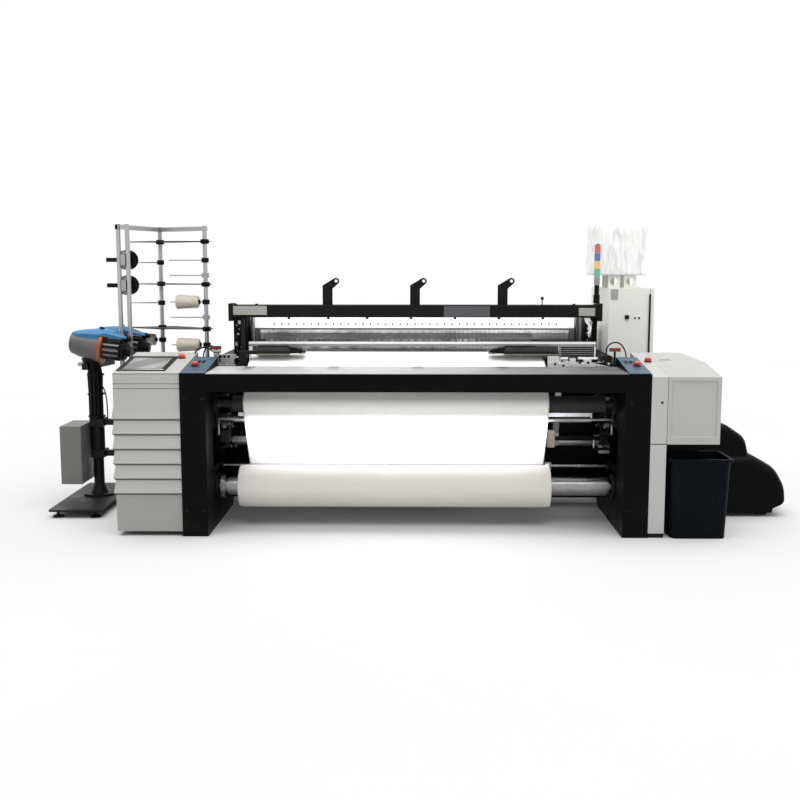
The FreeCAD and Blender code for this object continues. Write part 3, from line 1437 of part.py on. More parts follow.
def roller(label, y, z, journal, steps):
    """A turned roller with journals in both side frames; steps are (from, to, radius) along it."""
    piece = body(label)
    end = inner_face + journal_depth
    profile = [(-end, 0), (-end, journal), (steps[0][0], journal)]
    for low, high, radius in steps:
        profile += [(low, radius), (high, radius)]
    profile += [(steps[-1][1], journal), (end, journal), (end, 0)]
    turned(piece, "X", (fixed(0), y, z), profile)
    return piece


def take_up_roller():
    return roller("take_up_roller", take_up_y, take_up_z, journal_radius,
                  [(-take_up_left, take_up_right, take_up_radius)])


def press_roller():
    return roller("press_roller", press_y, press_z, small_journal,
                  [(-take_up_left, press_right, press_radius)])


def back_rest_roller():
    reach = inner_face - 40
    return roller("back_rest_roller", rest_y, rest_z, journal_radius, [(-reach, reach, rest_radius)])


def cloth_beam():
    """The silver tube that the cloth is wound on, with the toothed driving end on its left."""
    reach = inner_face - 26
    neck = cloth_beam_radius * 0.8
    steps = [(-reach, 24 - reach, cloth_beam_radius * 1.35), (24 - reach, 40 - reach, neck),
             (40 - reach, reach - 12, cloth_beam_radius), (reach - 12, reach, neck)]
    return roller("cloth_beam", roll_y, roll_z, journal_radius, steps)


def cloth_roll():
    """The wound cloth on its tube, slightly drawn in at its ends."""
    piece = body("cloth_roll")
    edge = cloth_thickness * 3
    side = roll_radius - edge
    profile = [(-roll_left, cloth_beam_radius), (-roll_left, side), (edge - roll_left, roll_radius),
               (roll_right - edge, roll_radius), (roll_right, side), (roll_right, cloth_beam_radius)]
    turned(piece, "X", (fixed(0), roll_y, roll_z), profile)
    return piece


def warp_beam():
    """The warp beam: its barrel, two dished flanges with thick rims, and the drive gear on the right."""
    reach = inner_face - 12
    rim, hub = flange_radius - 26, barrel_radius + 40
    gear = warp_right + flange_thickness + 120
    left_face, right_face = -warp_left - flange_thickness, warp_right + flange_thickness
    left_dish, right_dish = -warp_left - flange_web, warp_right + flange_web
    gear_end = gear + 26
    foot, lip = hub + 20, rim + 6
    steps = [(-reach, left_face, barrel_radius), (left_face, left_face, hub), (left_dish, left_dish, foot),
             (left_dish, left_dish, rim), (left_face, left_face, lip), (left_face, -warp_left, flange_radius),
             (-warp_left, warp_right, barrel_radius), (warp_right, right_face, flange_radius),
             (right_face, right_face, lip), (right_dish, right_dish, rim), (right_dish, right_dish, foot),
             (right_face, right_face, hub), (right_face, gear, barrel_radius),
             (gear, gear_end, barrel_radius * 2.1), (gear_end, reach, barrel_radius)]
    corners = []
    for low, high, radius in steps:
        corners.append((low, radius))
        if high is not low:
            corners.append((high, radius))
    end = inner_face + journal_depth
    profile = [(-end, 0), (-end, journal_radius), (-reach, journal_radius)] + corners
    profile += [(reach, journal_radius), (end, journal_radius), (end, 0)]
    piece = body("warp_beam")
    turned(piece, "X", (fixed(0), beam_y, beam_z), profile)
    return piece


def warp_yarn():
    """The wound warp between the flanges."""
    piece = body("warp_yarn")
    profile = [(-warp_left, barrel_radius), (-warp_left, warp_radius), (warp_right, warp_radius),
               (warp_right, barrel_radius)]
    turned(piece, "X", (fixed(0), beam_y, beam_z), profile)
    return piece


def stop_motion():
    """The warp stop motion: end brackets, contact rails and the rows of drop wires over the warp."""
    piece = body("warp_stop_motion")
    back = stop_front + stop_depth
    rise = (rest_z + rest_radius - warp_front_z) / (rest_y - warp_front)
    level = warp_front_z + (stop_front - warp_front) * rise
    near = inner_face - stop_bracket
    for low, high in ((-inner_face, -near), (near, inner_face)):
        pad(piece, "X", [box(stop_front, back, frame_height, level + stop_lift * 2)], low, high)
    for index in range(4):
        front = stop_front + (stop_depth - stop_rail) * index / 3
        height = level + (front - stop_front) * rise
        rails = [box(front, front + stop_rail, height + stop_lift, height + stop_lift + stop_rail)]
        if index in (0, 3):
            rails.append(box(front, front + stop_rail, frame_height, frame_height + stop_rail))
        pad(piece, "X", rails, -near, near)
        if index in (0, 2):
            wire = box(front + 5, front + 9, height + 5, height + stop_lift + 1)
            row = pad(piece, "X", [wire], -warp_left + 30, -warp_left + 38)
            repeat(piece, row, "X", warp_left + warp_right - 60, drop_wire_count)
    return piece


# --------------------------------------------------------------------------------- sley, reed, healds

def sley():
    """The rocking sley: its shaft, six tapered swords and the grooved beam that holds the reed."""
    piece = body("sley")
    end, reach = inner_face + journal_depth, inner_face - 8
    turned(piece, "X", (fixed(0), rocker_y, rocker_z),
           [(-end, 0), (-end, journal_radius), (-reach, journal_radius), (-reach, rocker_radius),
            (reach, rocker_radius), (reach, journal_radius), (end, journal_radius), (end, 0)])
    back = sley_front + sley_depth
    groove = sley_top - reed_groove
    far = reed_front + reed_depth
    channel = [(sley_front, sley_bottom), (back, sley_bottom), (back, sley_top - 20), (far + 6, sley_top),
               (far, sley_top), (far, groove), (reed_front, groove), (reed_front, sley_top),
               (sley_front, sley_top)]
    pad(piece, "X", [channel], -sley_left, sley_right)
    foot = rocker_radius * 1.2
    heel, toe = rocker_y + foot, rocker_y - foot
    blade = [(toe, rocker_z - 20), (heel, rocker_z - 20), (heel, rocker_z + 40), (back - 4, sley_bottom + 2),
             (sley_front + 8, sley_bottom + 2), (toe - 6, rocker_z + 60)]
    start = sley_left - sword_inset
    sword = pad(piece, "X", [blade], -start, sword_width - start)
    repeat(piece, sword, "X", start * 2 - sword_width, sword_count)
    return piece


def reed():
    """The reed: its foot and cap, the block at its right end and the wall of dents between them."""
    piece = body("reed")
    low, high = 6 - sley_left, sley_right - 2
    back = reed_front + reed_depth
    foot = sley_top - reed_groove
    dent_foot = sley_top + 8
    pad(piece, "X", [box(reed_front, back, foot, dent_foot)], low, high)
    pad(piece, "X", [box(reed_front, back, reed_top - reed_cap, reed_top)], low, high)
    pad(piece, "X", [box(reed_front, back, dent_foot - 1, reed_top - 1)], low, low + 20)
    pad(piece, "X", [box(reed_front, back, dent_foot - 1, reed_top - 1)], high - reed_block, high)
    middle = reed_front + (reed_depth - dent_depth) / 2
    wall = box(middle, middle + dent_depth, dent_foot - 1, reed_top - reed_cap + 1)
    span = high - reed_block - low - 20
    pitch = span / reed_rib_count
    rib = pad(piece, "X", [wall], low + 20 + pitch * 0.4, low + 20 + pitch)
    repeat(piece, rib, "X", span - pitch * 1.4, reed_rib_count)
    return piece


def heald_frame(index):
    """One heald frame: top and bottom slats, side struts and its row of heddles."""
    piece = body("heald_frame_%d" % (index + 1))
    front = heald_front + heald_pitch * index
    back = front + heald_thickness
    low_edge, high_edge = heald_bottom + heald_low_bar, heald_top - heald_top_bar
    outer = box(-heald_left, heald_right, heald_bottom, heald_top)
    inner = box(heald_strut - heald_left, heald_right - heald_strut, low_edge, high_edge)
    pad(piece, "Y", [outer, inner], front, back)
    middle = front + (heald_thickness - heddle_thickness) / 2
    start = 12 - warp_left
    heddle = pad(piece, "Y", [box(start, start + heddle_width, low_edge - 1, high_edge + 1)],
                 middle, middle + heddle_thickness)
    repeat(piece, heddle, "X", warp_left + warp_right - 30, heddle_count)
    return piece


# --------------------------------------------------------------------- temples, nozzles, edges, hoses

def temples():
    """The temple bar under the cloth and the two temples that hold the cloth's edges near the fell."""
    piece = body("temples")
    back = temple_bar_front + temple_bar_depth
    bar_top = temple_bar_bottom + temple_bar_height
    pad(piece, "X", [box(temple_bar_front, back, temple_bar_bottom, bar_top)], -inner_face, inner_face)
    front, rear = temple_bar_front, temple_bar_front + temple_depth
    top = temple_bottom + temple_height
    casing = [(front, temple_bottom), (rear, temple_bottom), (rear, top - 20), (rear - 14, top),
              (front + 18, top), (front, top - 26)]
    for side, edge, (outer, inner, tip) in ((-1, cloth_left, left_temple), (1, cloth_right, right_temple)):
        near = edge + temple_edge_gap
        far = near + temple_arm_width
        arm = sorted((near * side, far * side), key=number)
        pad(piece, "X", [box(front, back, bar_top - 1, temple_bottom + 20)], *arm)
        link = sorted((far * side, (outer - 2) * side), key=number)
        if number(far) > number(outer):
            pad(piece, "X", [box(front + 4, back, temple_bottom, temple_bottom + 20)], *link)
        pad(piece, "X", [casing], *sorted((outer * side, inner * side), key=number))
        root = side * (inner + 2)
        nose = [(root, front + 10), (side * tip, front + temple_depth / 2), (root, rear - 10)]
        pad(piece, "Z", [nose], temple_bottom + 4, top - 12)
    return piece


def nozzle_unit():
    """The fixed nozzle with its valves on the left side frame, its tall bracket and the orange tap."""
    piece = body("nozzle_unit")
    left, right = -inner_face - 50, -inner_face + nozzle_overhang
    step = temple_bar_front + temple_bar_depth + 8
    far = -bracket_x + 25
    plate = [(left, nozzle_front), (right, nozzle_front), (right, step), (far, step), (far, nozzle_back),
             (left, nozzle_back)]
    low = frame_height + nozzle_plate
    pad(piece, "Z", [plate], frame_height, low)
    pad(piece, "Z", [box(left + 55, right - 8, nozzle_front + 10, nozzle_front + 70)], low, low + 34)
    pad(piece, "X", [box(nozzle_front + 22, nozzle_front + 58, low + 33, low + 58)], left + 48, right)
    barrel = low + nozzle_radius * 2.5
    thin = nozzle_radius / 2
    turned(piece, "X", (fixed(0), nozzle_back - 26, barrel),
           [(left + 50, 0), (left + 50, nozzle_radius), (right, nozzle_radius), (right + 10, thin),
            (far - 30, thin), (far - 18, 2), (far - 18, 0)])
    pad(piece, "Z", [box(left + 60, left + 110, nozzle_back - 38, nozzle_back - 14)], low, barrel)
    upright = box(-bracket_x - 11, -bracket_x + 11, low, bracket_top)
    pad(piece, "Y", [upright], nozzle_back - 12, nozzle_back - 2)
    tap(piece, left + 22, low)
    return piece


def tap(piece, x, low):
    """An air tap with a broad handle across the top of its stem."""
    top = low + tap_height
    turned(piece, "Z", (x, tap_y, fixed(0)),
           [(low, 0), (low, tap_radius * 3), (low + 14, tap_radius * 3), (low + 14, tap_radius),
            (top, tap_radius), (top, 0)], "stem")
    pad(piece, "X", [box(tap_y - 9, tap_y + 9, top - 20, top)], x - tap_width / 2, x + tap_width / 2)


def edge_unit():
    """The device for the cloth's right edge: two rails with clamps on a bracket, and the air tap."""
    piece = body("selvedge_unit")
    back = edge_front + edge_depth
    left = cloth_right + temple_edge_gap
    bracket = inner_face - edge_block
    rails = [box(edge_front, edge_front + 20, edge_bottom, edge_bottom + edge_rail),
             box(back - 18, back, edge_bottom, edge_bottom + edge_rail)]
    pad(piece, "X", rails, left, inner_face)
    for start, width, height in ((left, 60, 58), (left + 120, 34, 50), (left + 200, 44, 42)):
        pad(piece, "Z", [box(start, start + width, edge_front, back)], edge_bottom, edge_bottom + height)
    foot = guide_y + guide_radius + 6
    pad(piece, "X", [box(foot, back, temple_bar_bottom, edge_top)], bracket, inner_face)
    tap(piece, inner_face + 26, frame_height)
    return piece


def mushroom_button(name):
    """A mushroom button whose neck slides in its bore square to the sloping top."""
    x, y, height = button_spots[name]
    piece = body(name, x=x, y=y, z=on_slope(height, y), dip=(Vector(1, 0, 0), tilt))
    under = button_travel + 3
    turned(piece, "Z", (fixed(0), fixed(0), fixed(0)),
           [(-button_travel, 0), (-button_travel, button_neck), (under, button_neck), (under, button_radius),
            (under + button_height * 0.7, button_radius), (under + button_height, button_radius * 0.6),
            (under + button_height, 0)])
    return piece


def hose(points, radius):
    """A round hose along straight runs joined by tangent arcs."""
    spots = [point(*spot) for spot in points]
    edges = []
    last = spots[0]
    for before, corner, after in zip(spots[:-2], spots[1:-1], spots[2:]):
        back, on = before - corner, after - corner
        shorter = min(back.Length, on.Length)
        turn = math.pi - back.getAngle(on)
        bend = 0.45 * shorter / math.tan(turn / 2)
        start = corner + back.normalize() * shorter * 0.45
        end = corner + on.normalize() * shorter * 0.45
        inward = ((start + end) * 0.5 - corner).normalize()
        middle = corner + inward * (bend / math.cos(turn / 2) - bend)
        edges.append(Part.LineSegment(last, start).toShape())
        edges.append(Part.Arc(start, middle, end).toShape())
        last = end
        print("bend radius %.0f mm" % bend)
    edges.append(Part.LineSegment(last, spots[-1]).toShape())
    path = Part.Wire(edges)
    ring = Part.Wire([Part.Circle(spots[0], spots[1] - spots[0], number(radius)).toShape()])
    solid = path.makePipeShell([ring], True, False)
    print("hose %.0f mm long, volume ratio %.3f"
          % (path.Length, solid.Volume / (math.pi * number(radius) ** 2 * path.Length)))
    return solid


def cables():
    """The feeders' cable down the post and the short air hoses beside the nozzle and the edge device."""
    plate_top = frame_height + nozzle_plate
    arm_top = upper_clamp + 5 + arm_side
    routes = [[(-1990, 905, stand_top), (-1990, 905, stand_top - 52), (-1966, 900, stand_top - 98),
               (-1936, 886, stand_top - 146), (-1922, 864, stand_top - 198), (-1915, 850, stand_top - 252),
               (-1915, 850, arm_top)],
              [(-1150, 548, plate_top), (-1150, 548, plate_top + 45), (-1168, 545, plate_top + 87),
               (-1204, 548, plate_top + 107), (-1236, 556, plate_top + 85), (-1250, 560, plate_top + 45),
               (-1250, 560, frame_height)],
              [(1100, 440, edge_top), (1100, 440, edge_top + 36), (1116, 436, edge_top + 66),
               (1150, 430, edge_top + 80), (1186, 432, edge_top + 66), (1212, 440, edge_top + 24),
               (1218, 444, edge_top - 20), (1218, 444, frame_height)]]
    return formed("cables", Part.makeCompound([hose(route, hose_radius) for route in routes]))


# --------------------------------------------------------------------------------- the whole machine

pieces = [side_frame("side_frame_left", -1), side_frame("side_frame_right", 1),
          tube_beam("breast_beam", fixed(0), beam_depth, frame_height - beam_height, beam_height),
          lower_beam(),
          tube_beam("rear_beam", rear_beam_front, rear_beam_depth, frame_height - rear_beam_height,
                    rear_beam_height),
          breast_plate(), lintel(), lintel_posts(), left_cabinet(), operator_screen(), corner_panels(),
          right_strip_cover(), right_cabinet(), electrical_cabinet(), cabinet_door(), main_switch(),
          upper_box(), signal_tower(), drive_cover_lower(), drive_cover_upper(), waste_bin()]
pieces += [stand_base(), stand_post(), feeder_box(), feeder_housings(),
           formed("feeder_covers", Part.makeCompound(on_feeders(hood))),
           formed("feeder_drums", Part.makeCompound(on_feeders(drum)))]
pieces += [feeder_disc(*spot) for spot in feeder_spots]
pieces += [creel_frame(), creel_trays(), creel_holders(), yarn_cones(),
           cord_spool("cord_spool_lower", spool_heights[0]), cord_spool("cord_spool_upper", spool_heights[1])]
pieces += [cloth_web(), warp_sheet(), cloth_guides(), take_up_roller(), press_roller(), back_rest_roller(),
           cloth_beam(), cloth_roll(), warp_beam(), warp_yarn(), stop_motion(), sley(), reed()]
pieces += [heald_frame(index) for index in range(heald_count)]
pieces += [temples(), nozzle_unit(), edge_unit(), cables()]
pieces += [mushroom_button(name) for name in button_spots]

doc.recompute()
for thing in doc.Objects:
    if "Invalid" in thing.State or "Error" in thing.State:
        raise RuntimeError("%s failed: %s" % (thing.Label, thing.State))
for piece in pieces:
    if piece.Shape.isNull() or not piece.Shape.isValid():
        raise RuntimeError("%s has no sound shape" % piece.Label)
    piece.Shape.exportStep("parts/%s.step" % piece.Label)
print("%d pieces written" % len(pieces))
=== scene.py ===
"""Weaving machine: finishes, cloth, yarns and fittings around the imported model.

Places are in millimetres of the loom: X 0 on the middle of its frame, Y 0 at the front of the
breast beam, Z 0 on the floor. at() turns them into metres of the row frame.
"""
import json
import math
import random

import bmesh
import bpy
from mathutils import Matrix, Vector, noise


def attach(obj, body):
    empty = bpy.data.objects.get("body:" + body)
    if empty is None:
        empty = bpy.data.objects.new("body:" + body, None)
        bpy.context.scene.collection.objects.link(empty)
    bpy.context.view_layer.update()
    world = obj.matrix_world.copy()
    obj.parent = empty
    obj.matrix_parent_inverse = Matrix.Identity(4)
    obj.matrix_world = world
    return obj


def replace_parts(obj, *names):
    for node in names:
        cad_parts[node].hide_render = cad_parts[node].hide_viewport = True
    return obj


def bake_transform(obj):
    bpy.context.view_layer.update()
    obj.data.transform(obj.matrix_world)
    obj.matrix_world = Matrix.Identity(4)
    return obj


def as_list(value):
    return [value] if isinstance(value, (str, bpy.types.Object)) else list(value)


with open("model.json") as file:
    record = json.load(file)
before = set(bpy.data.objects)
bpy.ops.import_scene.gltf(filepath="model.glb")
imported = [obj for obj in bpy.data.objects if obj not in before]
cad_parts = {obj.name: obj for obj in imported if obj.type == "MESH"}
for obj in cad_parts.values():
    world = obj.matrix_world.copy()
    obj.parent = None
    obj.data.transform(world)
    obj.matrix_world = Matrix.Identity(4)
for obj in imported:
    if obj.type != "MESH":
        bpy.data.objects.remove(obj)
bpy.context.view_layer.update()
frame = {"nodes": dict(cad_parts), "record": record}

ORIGIN = Vector((18.5, 987, 0))
MM = 0.001
INNER_FACE = 1130.5  # of the side frames


def at(x, y, z):
    return (Vector((x, y, z)) - ORIGIN) * MM


def stand(name, data):
    """A new object in the scene."""
    thing = bpy.data.objects.new(name, data)
    bpy.context.scene.collection.objects.link(thing)
    return thing


# ---- camera

FOCAL_PIXELS, PICTURE_PIXELS, SENSOR = 1044, 800, 36
CAMERA_PITCH, CAMERA_TURN = 7.26, 0.82

camera_data = bpy.data.cameras.new("camera")
camera_data.sensor_width = SENSOR
camera_data.lens = FOCAL_PIXELS / PICTURE_PIXELS * SENSOR
camera_data.clip_end = 60
camera = stand("camera", camera_data)
camera.location = at(0, -5570, 1466)
camera.rotation_euler = (math.radians(90 - CAMERA_PITCH), 0, math.radians(CAMERA_TURN))
bpy.context.scene.camera = camera


# ---- shader nodes

finishes = {}


class Finish:
    """A node material under construction around one Principled shader, kept in finishes."""

    def __init__(self, name, metallic=0.0, rough=0.5, specular=0.5, **sockets):
        self.material = bpy.data.materials.new(name)
        self.material.use_nodes = True
        finishes[name] = self.material
        self.nodes = self.material.node_tree.nodes
        self.links = self.material.node_tree.links
        self.shader = self.nodes["Principled BSDF"]
        self.put("Metallic", metallic)
        self.put("Roughness", rough)
        self.put("Specular IOR Level", specular)
        for socket, value in sockets.items():
            self.put(socket.replace("_", " "), value)
        self.coordinates = self.nodes.new("ShaderNodeTexCoord")

    def put(self, socket, value):
        self.shader.inputs[socket].default_value = value

    def feed(self, socket, output):
        self.links.new(output, self.shader.inputs[socket])

    def colour(self, output):
        self.feed("Base Color", output)

    def add(self, kind, inputs, **settings):
        node = self.nodes.new("ShaderNode" + kind)
        for key, value in settings.items():
            setattr(node, key, value)
        for key, value in inputs.items():
            if isinstance(value, bpy.types.NodeSocket):
                self.links.new(value, node.inputs[key])
            else:
                node.inputs[key].default_value = value
        return node

    def place(self, stretch=(1, 1, 1), space="Object", turn=0.0):
        return self.add("Mapping", {"Vector": self.coordinates.outputs[space], "Scale": stretch,
                                    "Rotation": (0, 0, turn)}).outputs["Vector"]

    def noise(self, scale, detail=2.0, stretch=(1, 1, 1), space="Object", warp=0.0):
        return self.add("TexNoise", {"Vector": self.place(stretch, space), "Scale": scale, "Detail": detail,
                                     "Distortion": warp}).outputs["Fac"]

    def waves(self, scale, direction="X", space="Object", warp=0.0, turn=0.0, phase=0.0):
        return self.add("TexWave", {"Vector": self.place(space=space, turn=turn), "Scale": scale, "Distortion": warp,
                                    "Phase Offset": phase}, bands_direction=direction).outputs["Fac"]

    def ramp(self, fac, stops):
        node = self.add("ValToRGB", {"Fac": fac})
        points = node.color_ramp.elements
        while len(points) < len(stops):
            points.new(0.5)
        for point, (position, colour) in zip(points, stops):
            point.position = position
            point.color = (*colour, 1)
        return node.outputs["Color"]

    def shades(self, fac, colour, dark, light, end=0.7):
        return self.ramp(fac, [(0.3, tone(colour, dark)), (end, tone(colour, light))])

    def mask(self, fac, low, high):
        return self.ramp(fac, [(low, (0, 0, 0)), (high, (1, 1, 1))])

    def blend(self, fac, first, second):
        first, second = ((*colour, 1) if isinstance(colour, tuple) else colour for colour in (first, second))
        return self.add("Mix", {0: fac, 6: first, 7: second}, data_type="RGBA").outputs[2]

    def span(self, fac, low, high, start=0.0, end=1.0):
        return self.add("MapRange", {"Value": fac, "From Min": start, "From Max": end,
                                     "To Min": low, "To Max": high}).outputs["Result"]

    def roughen(self, scale, detail, low, high):
        self.feed("Roughness", self.span(self.noise(scale, detail), low, high, 0.3, 0.7))

    def sums(self, first, second, kind="MULTIPLY"):
        return self.add("Math", {0: first, 1: second}, operation=kind).outputs[0]

    def bump(self, height, strength, distance, under=None):
        inputs = {"Height": height, "Strength": strength, "Distance": distance}
        if under is not None:
            inputs["Normal"] = under
        return self.add("Bump", inputs).outputs["Normal"]

    def relief(self, *bump):
        self.feed("Normal", self.bump(*bump))

    def axis(self, name):
        return self.add("SeparateXYZ", {"Vector": self.coordinates.outputs["Object"]}).outputs[name]


def tone(colour, share):
    return tuple(min(1.0, part * share) for part in colour)


def painted(name, colour, rough, peel=0.12, mottle=0.04, dirt=0.0, specular=0.5, coat=0.0):
    """Powder coat: orange peel, faint clouds, fine scratches and grime near the floor."""
    finish = Finish(name, rough=rough, specular=specular, Coat_Weight=coat, Coat_Roughness=0.15)
    shade = finish.shades(finish.noise(2.3, 4), colour, 1 - mottle, 1 + mottle)
    scratch = finish.mask(finish.noise(60, 3, (0.4, 6, 3), warp=0.6), 0.70, 0.78)
    worn = finish.sums(scratch, 0.25)
    shade = finish.blend(worn, shade, tone(colour, 1.22))
    if dirt:
        low = finish.span(finish.axis("Z"), 1, 0, 0.0, 0.35)
        grime = finish.sums(low, finish.mask(finish.noise(9, 5), 0.42, 0.7))
        shade = finish.blend(finish.sums(grime, dirt), shade, (0.16, 0.15, 0.13))
    finish.colour(shade)
    finish.roughen(14, 4, rough - 0.06, rough + 0.08)
    finish.relief(finish.noise(420, 2), peel, 0.0006)


def brushed(name, colour, rough, stretch=(1, 60, 60), smudge_and_shade=0.0, dark=(0.1, 0.1, 0.1), metallic=1.0,
            specular=0.5):
    """Metal with a fine lay of scratches along one axis and soft handling marks."""
    finish = Finish(name, metallic=metallic, rough=rough, specular=specular)
    lay = finish.noise(18, 5, stretch)
    shade = finish.shades(lay, colour, 0.84, 1.12)
    if smudge_and_shade:
        marks = finish.mask(finish.noise(2.6, 3, (1, 2, 2), warp=0.4), 0.5, 0.68)
        shade = finish.blend(finish.sums(marks, smudge_and_shade), shade, dark)
    finish.colour(shade)
    finish.roughen(7, 4, rough - 0.08, rough + 0.12)
    finish.relief(lay, 0.10, 0.0004)


def moulded(name, colour, rough, grain=0.2, specular=0.4, coat=0.0, size=700):
    """Moulded plastic with a fine grain and slight flow clouds."""
    finish = Finish(name, rough=rough, specular=specular, Coat_Weight=coat, Coat_Roughness=0.12)
    finish.colour(finish.shades(finish.noise(5, 3), colour, 0.9, 1.1))
    finish.roughen(30, 3, rough - 0.05, rough + 0.07)
    finish.relief(finish.noise(size, 2), grain, 0.0005)


def rubber(name, colour, pitch):
    """Dark rubber with fine turned grooves round the roller."""
    finish = Finish(name, rough=0.62, specular=0.3)
    grooves = finish.waves(50 / pitch, "X")
    finish.colour(finish.shades(finish.noise(8, 4, (1, 4, 4)), colour, 0.75, 1.5, 0.75))
    finish.relief(grooves, 0.5, 0.0012, finish.bump(finish.noise(300, 2), 0.2, 0.0006))


def woven(name, colour, shadow):
    """Plain weave on the mesh's own cloth coordinates, in metres along the weft and the warp."""
    finish = Finish(name, rough=0.82, specular=0.2, Sheen_Weight=0.25, Sheen_Roughness=0.45)
    weft = finish.waves(260, "Y", "UV", 0.6)
    warp = finish.waves(300, "X", "UV", 0.6)
    checks = finish.sums(weft, warp)
    streak = finish.noise(7, 4, (60, 0.35, 1), "UV")
    soft = finish.noise(1.6, 3, (1, 1, 1), "UV")
    shade = finish.blend(finish.span(checks, 0.0, 0.5), colour, shadow)
    shade = finish.blend(finish.span(streak, 0.0, 0.16, 0.35, 0.75), shade, tone(shadow, 0.86))
    shade = finish.blend(finish.span(soft, 0.0, 0.10, 0.4, 0.7), shade, tone(shadow, 0.9))
    finish.colour(shade)
    fine = finish.bump(checks, 0.25, 0.0004)
    finish.relief(streak, 0.25, 0.0016, fine)


def threads(name, colour, shadow):
    """Parallel yarns side by side, on the mesh's own coordinates: X across them, Y along them."""
    finish = Finish(name, rough=0.75, specular=0.25, Sheen_Weight=0.3, Sheen_Roughness=0.4)
    ends = finish.waves(160, "X", "UV", 0.15)
    bands = finish.noise(9, 4, (26, 0.2, 1), "UV")
    shade = finish.blend(finish.span(ends, 0.55, 0.0), colour, shadow)
    shade = finish.blend(finish.span(bands, 0.0, 0.35, 0.35, 0.75), shade, tone(shadow, 0.8))
    finish.colour(shade)
    finish.relief(ends, 0.6, 0.0012, finish.bump(bands, 0.3, 0.002))


def wound(name, colour, shadow):
    """Yarn cross wound on a cone, on coordinates round and along the package."""
    finish = Finish(name, rough=0.8, specular=0.2, Sheen_Weight=0.4, Sheen_Roughness=0.4)
    one = finish.waves(34, "X", "UV", 0.8, turn=0.55)
    other = finish.waves(34, "X", "UV", 0.8, turn=-0.55)
    both = finish.sums(one, other, "MAXIMUM")
    finish.colour(finish.blend(finish.span(both, 0.5, 0.0, 0.3, 1), colour, shadow))
    finish.relief(both, 0.5, 0.0012)


def beam_plate(name, colour, smudge_and_shade):
    """The brushed plate on the beam, with its sheen painted into the colour: the pale tone is a painted reflection,
    broken by painted shade at three places and dying away at the right.
    """
    finish = Finish(name, metallic=0.3, rough=0.40, specular=0.35)
    lay = finish.noise(18, 5, (1, 60, 60))
    shade = finish.shades(lay, colour, 0.86, 1.1)
    # Painted shade where the painted reflection breaks: three spots, towards the rear and towards the right.
    spots = finish.mask(finish.waves(0.6614, "X", phase=math.pi), 0.93, 0.99)
    rear = finish.span(finish.axis("Y"), 0.0, 0.75, -0.86, -0.70)
    shade = finish.blend(finish.sums(spots, rear), shade, smudge_and_shade)
    shade = finish.blend(finish.span(finish.axis("X"), 0.0, 0.9, -0.2, 1.02), shade, smudge_and_shade)
    finish.colour(shade)
    finish.roughen(7, 4, 0.32, 0.5)
    finish.relief(lay, 0.10, 0.0004)


def painted_reflection_glass(name, dark, pale):
    """Dull glass with soft slanting bands of painted reflection in its colour."""
    finish = Finish(name, rough=0.25, specular=0.35)
    bands = finish.waves(1.5, "X", turn=0.6)
    finish.colour(finish.ramp(bands, [(0.45, dark), (0.85, pale)]))
    finish.roughen(12, 4, 0.2, 0.34)


def creased(name, colour, fold):
    """Stiff pale skin with flattened creases, and painted shade along the crease lines."""
    finish = Finish(name, rough=0.42, specular=0.35)
    creases = finish.noise(9, 4, (1.6, 1.6, 0.3), warp=0.8)
    edges = finish.ramp(creases, [(0.44, (0, 0, 0)), (0.5, (1, 1, 1)), (0.56, (0, 0, 0))])
    # Painted shade: the fold colour darkens a line along each crease.
    finish.colour(finish.blend(finish.sums(edges, 0.5), colour, fold))
    finish.relief(creases, 0.6, 0.010)


BLACK = (0.0016, 0.0018, 0.0018)
GREY = (0.3581, 0.3581, 0.3395)
WHITE = (0.76, 0.76, 0.71)

painted("frame_black", BLACK, 0.46, 0.2, 0.1, 0.02, specular=0.06)
painted("cabinet_grey", GREY, 0.42, 0.12, 0.03, 0.12, specular=0.35)
painted("cabinet_white", WHITE, 0.40, 0.12, 0.03, 0.05, specular=0.35)
beam_plate("plate_top", (0.50, 0.50, 0.505), (0.07, 0.07, 0.072))
painted("panel_blue", (0.030, 0.070, 0.105), 0.38, 0.15, 0.06, specular=0.4)
brushed("steel_plate", (0.55, 0.55, 0.56), 0.40, (1, 60, 60), 0.6, (0.16, 0.16, 0.165), 0.35)
brushed("steel_dark", (0.012, 0.0125, 0.013), 0.45, (8, 8, 8), metallic=0.4, specular=0.2)
brushed("aluminium_bright", (0.46, 0.465, 0.48), 0.36, (1, 70, 70))
brushed("chrome_roller", (0.30, 0.30, 0.305), 0.30, (40, 1.2, 1.2))
rubber("roller_rubber", (0.020, 0.022, 0.020), 4.0)
woven("cloth_white", (0.90, 0.90, 0.87), (0.72, 0.72, 0.69))
# A darker copy of the cloth for the wound roll: painted shade.
woven("cloth_rolled_shaded", (0.64, 0.62, 0.57), (0.47, 0.455, 0.41))
threads("warp_white", (0.84, 0.83, 0.80), (0.42, 0.41, 0.39))
threads("warp_shade", (0.30, 0.30, 0.29), (0.12, 0.12, 0.115))
wound("cone_yarn", (0.66, 0.61, 0.52), (0.40, 0.355, 0.29))
moulded("bin_plastic", (0.0010, 0.0030, 0.0050), 0.44, 0.3, 0.06)
moulded("cover_black", (0.0016, 0.0019, 0.0020), 0.40, 0.15, 0.06)
moulded("feeder_grey", (0.074, 0.077, 0.074), 0.40, 0.25, 0.4)
moulded("feeder_blue", (0.006, 0.125, 0.29), 0.30, 0.1, 0.35, 0.15)
moulded("feeder_orange", (0.29, 0.056, 0.016), 0.34, 0.1, 0.4)
moulded("button_red", (0.46, 0.018, 0.028), 0.28, 0.05, 0.5, 0.3)
painted_reflection_glass("screen_glass", (0.15, 0.145, 0.14), (0.27, 0.265, 0.26))
moulded("clamp_black", (0.004, 0.0042, 0.0045), 0.45, 0.2, 0.12)
moulded("cable_black", (0.004, 0.004, 0.0045), 0.5, 0.1, 0.15)
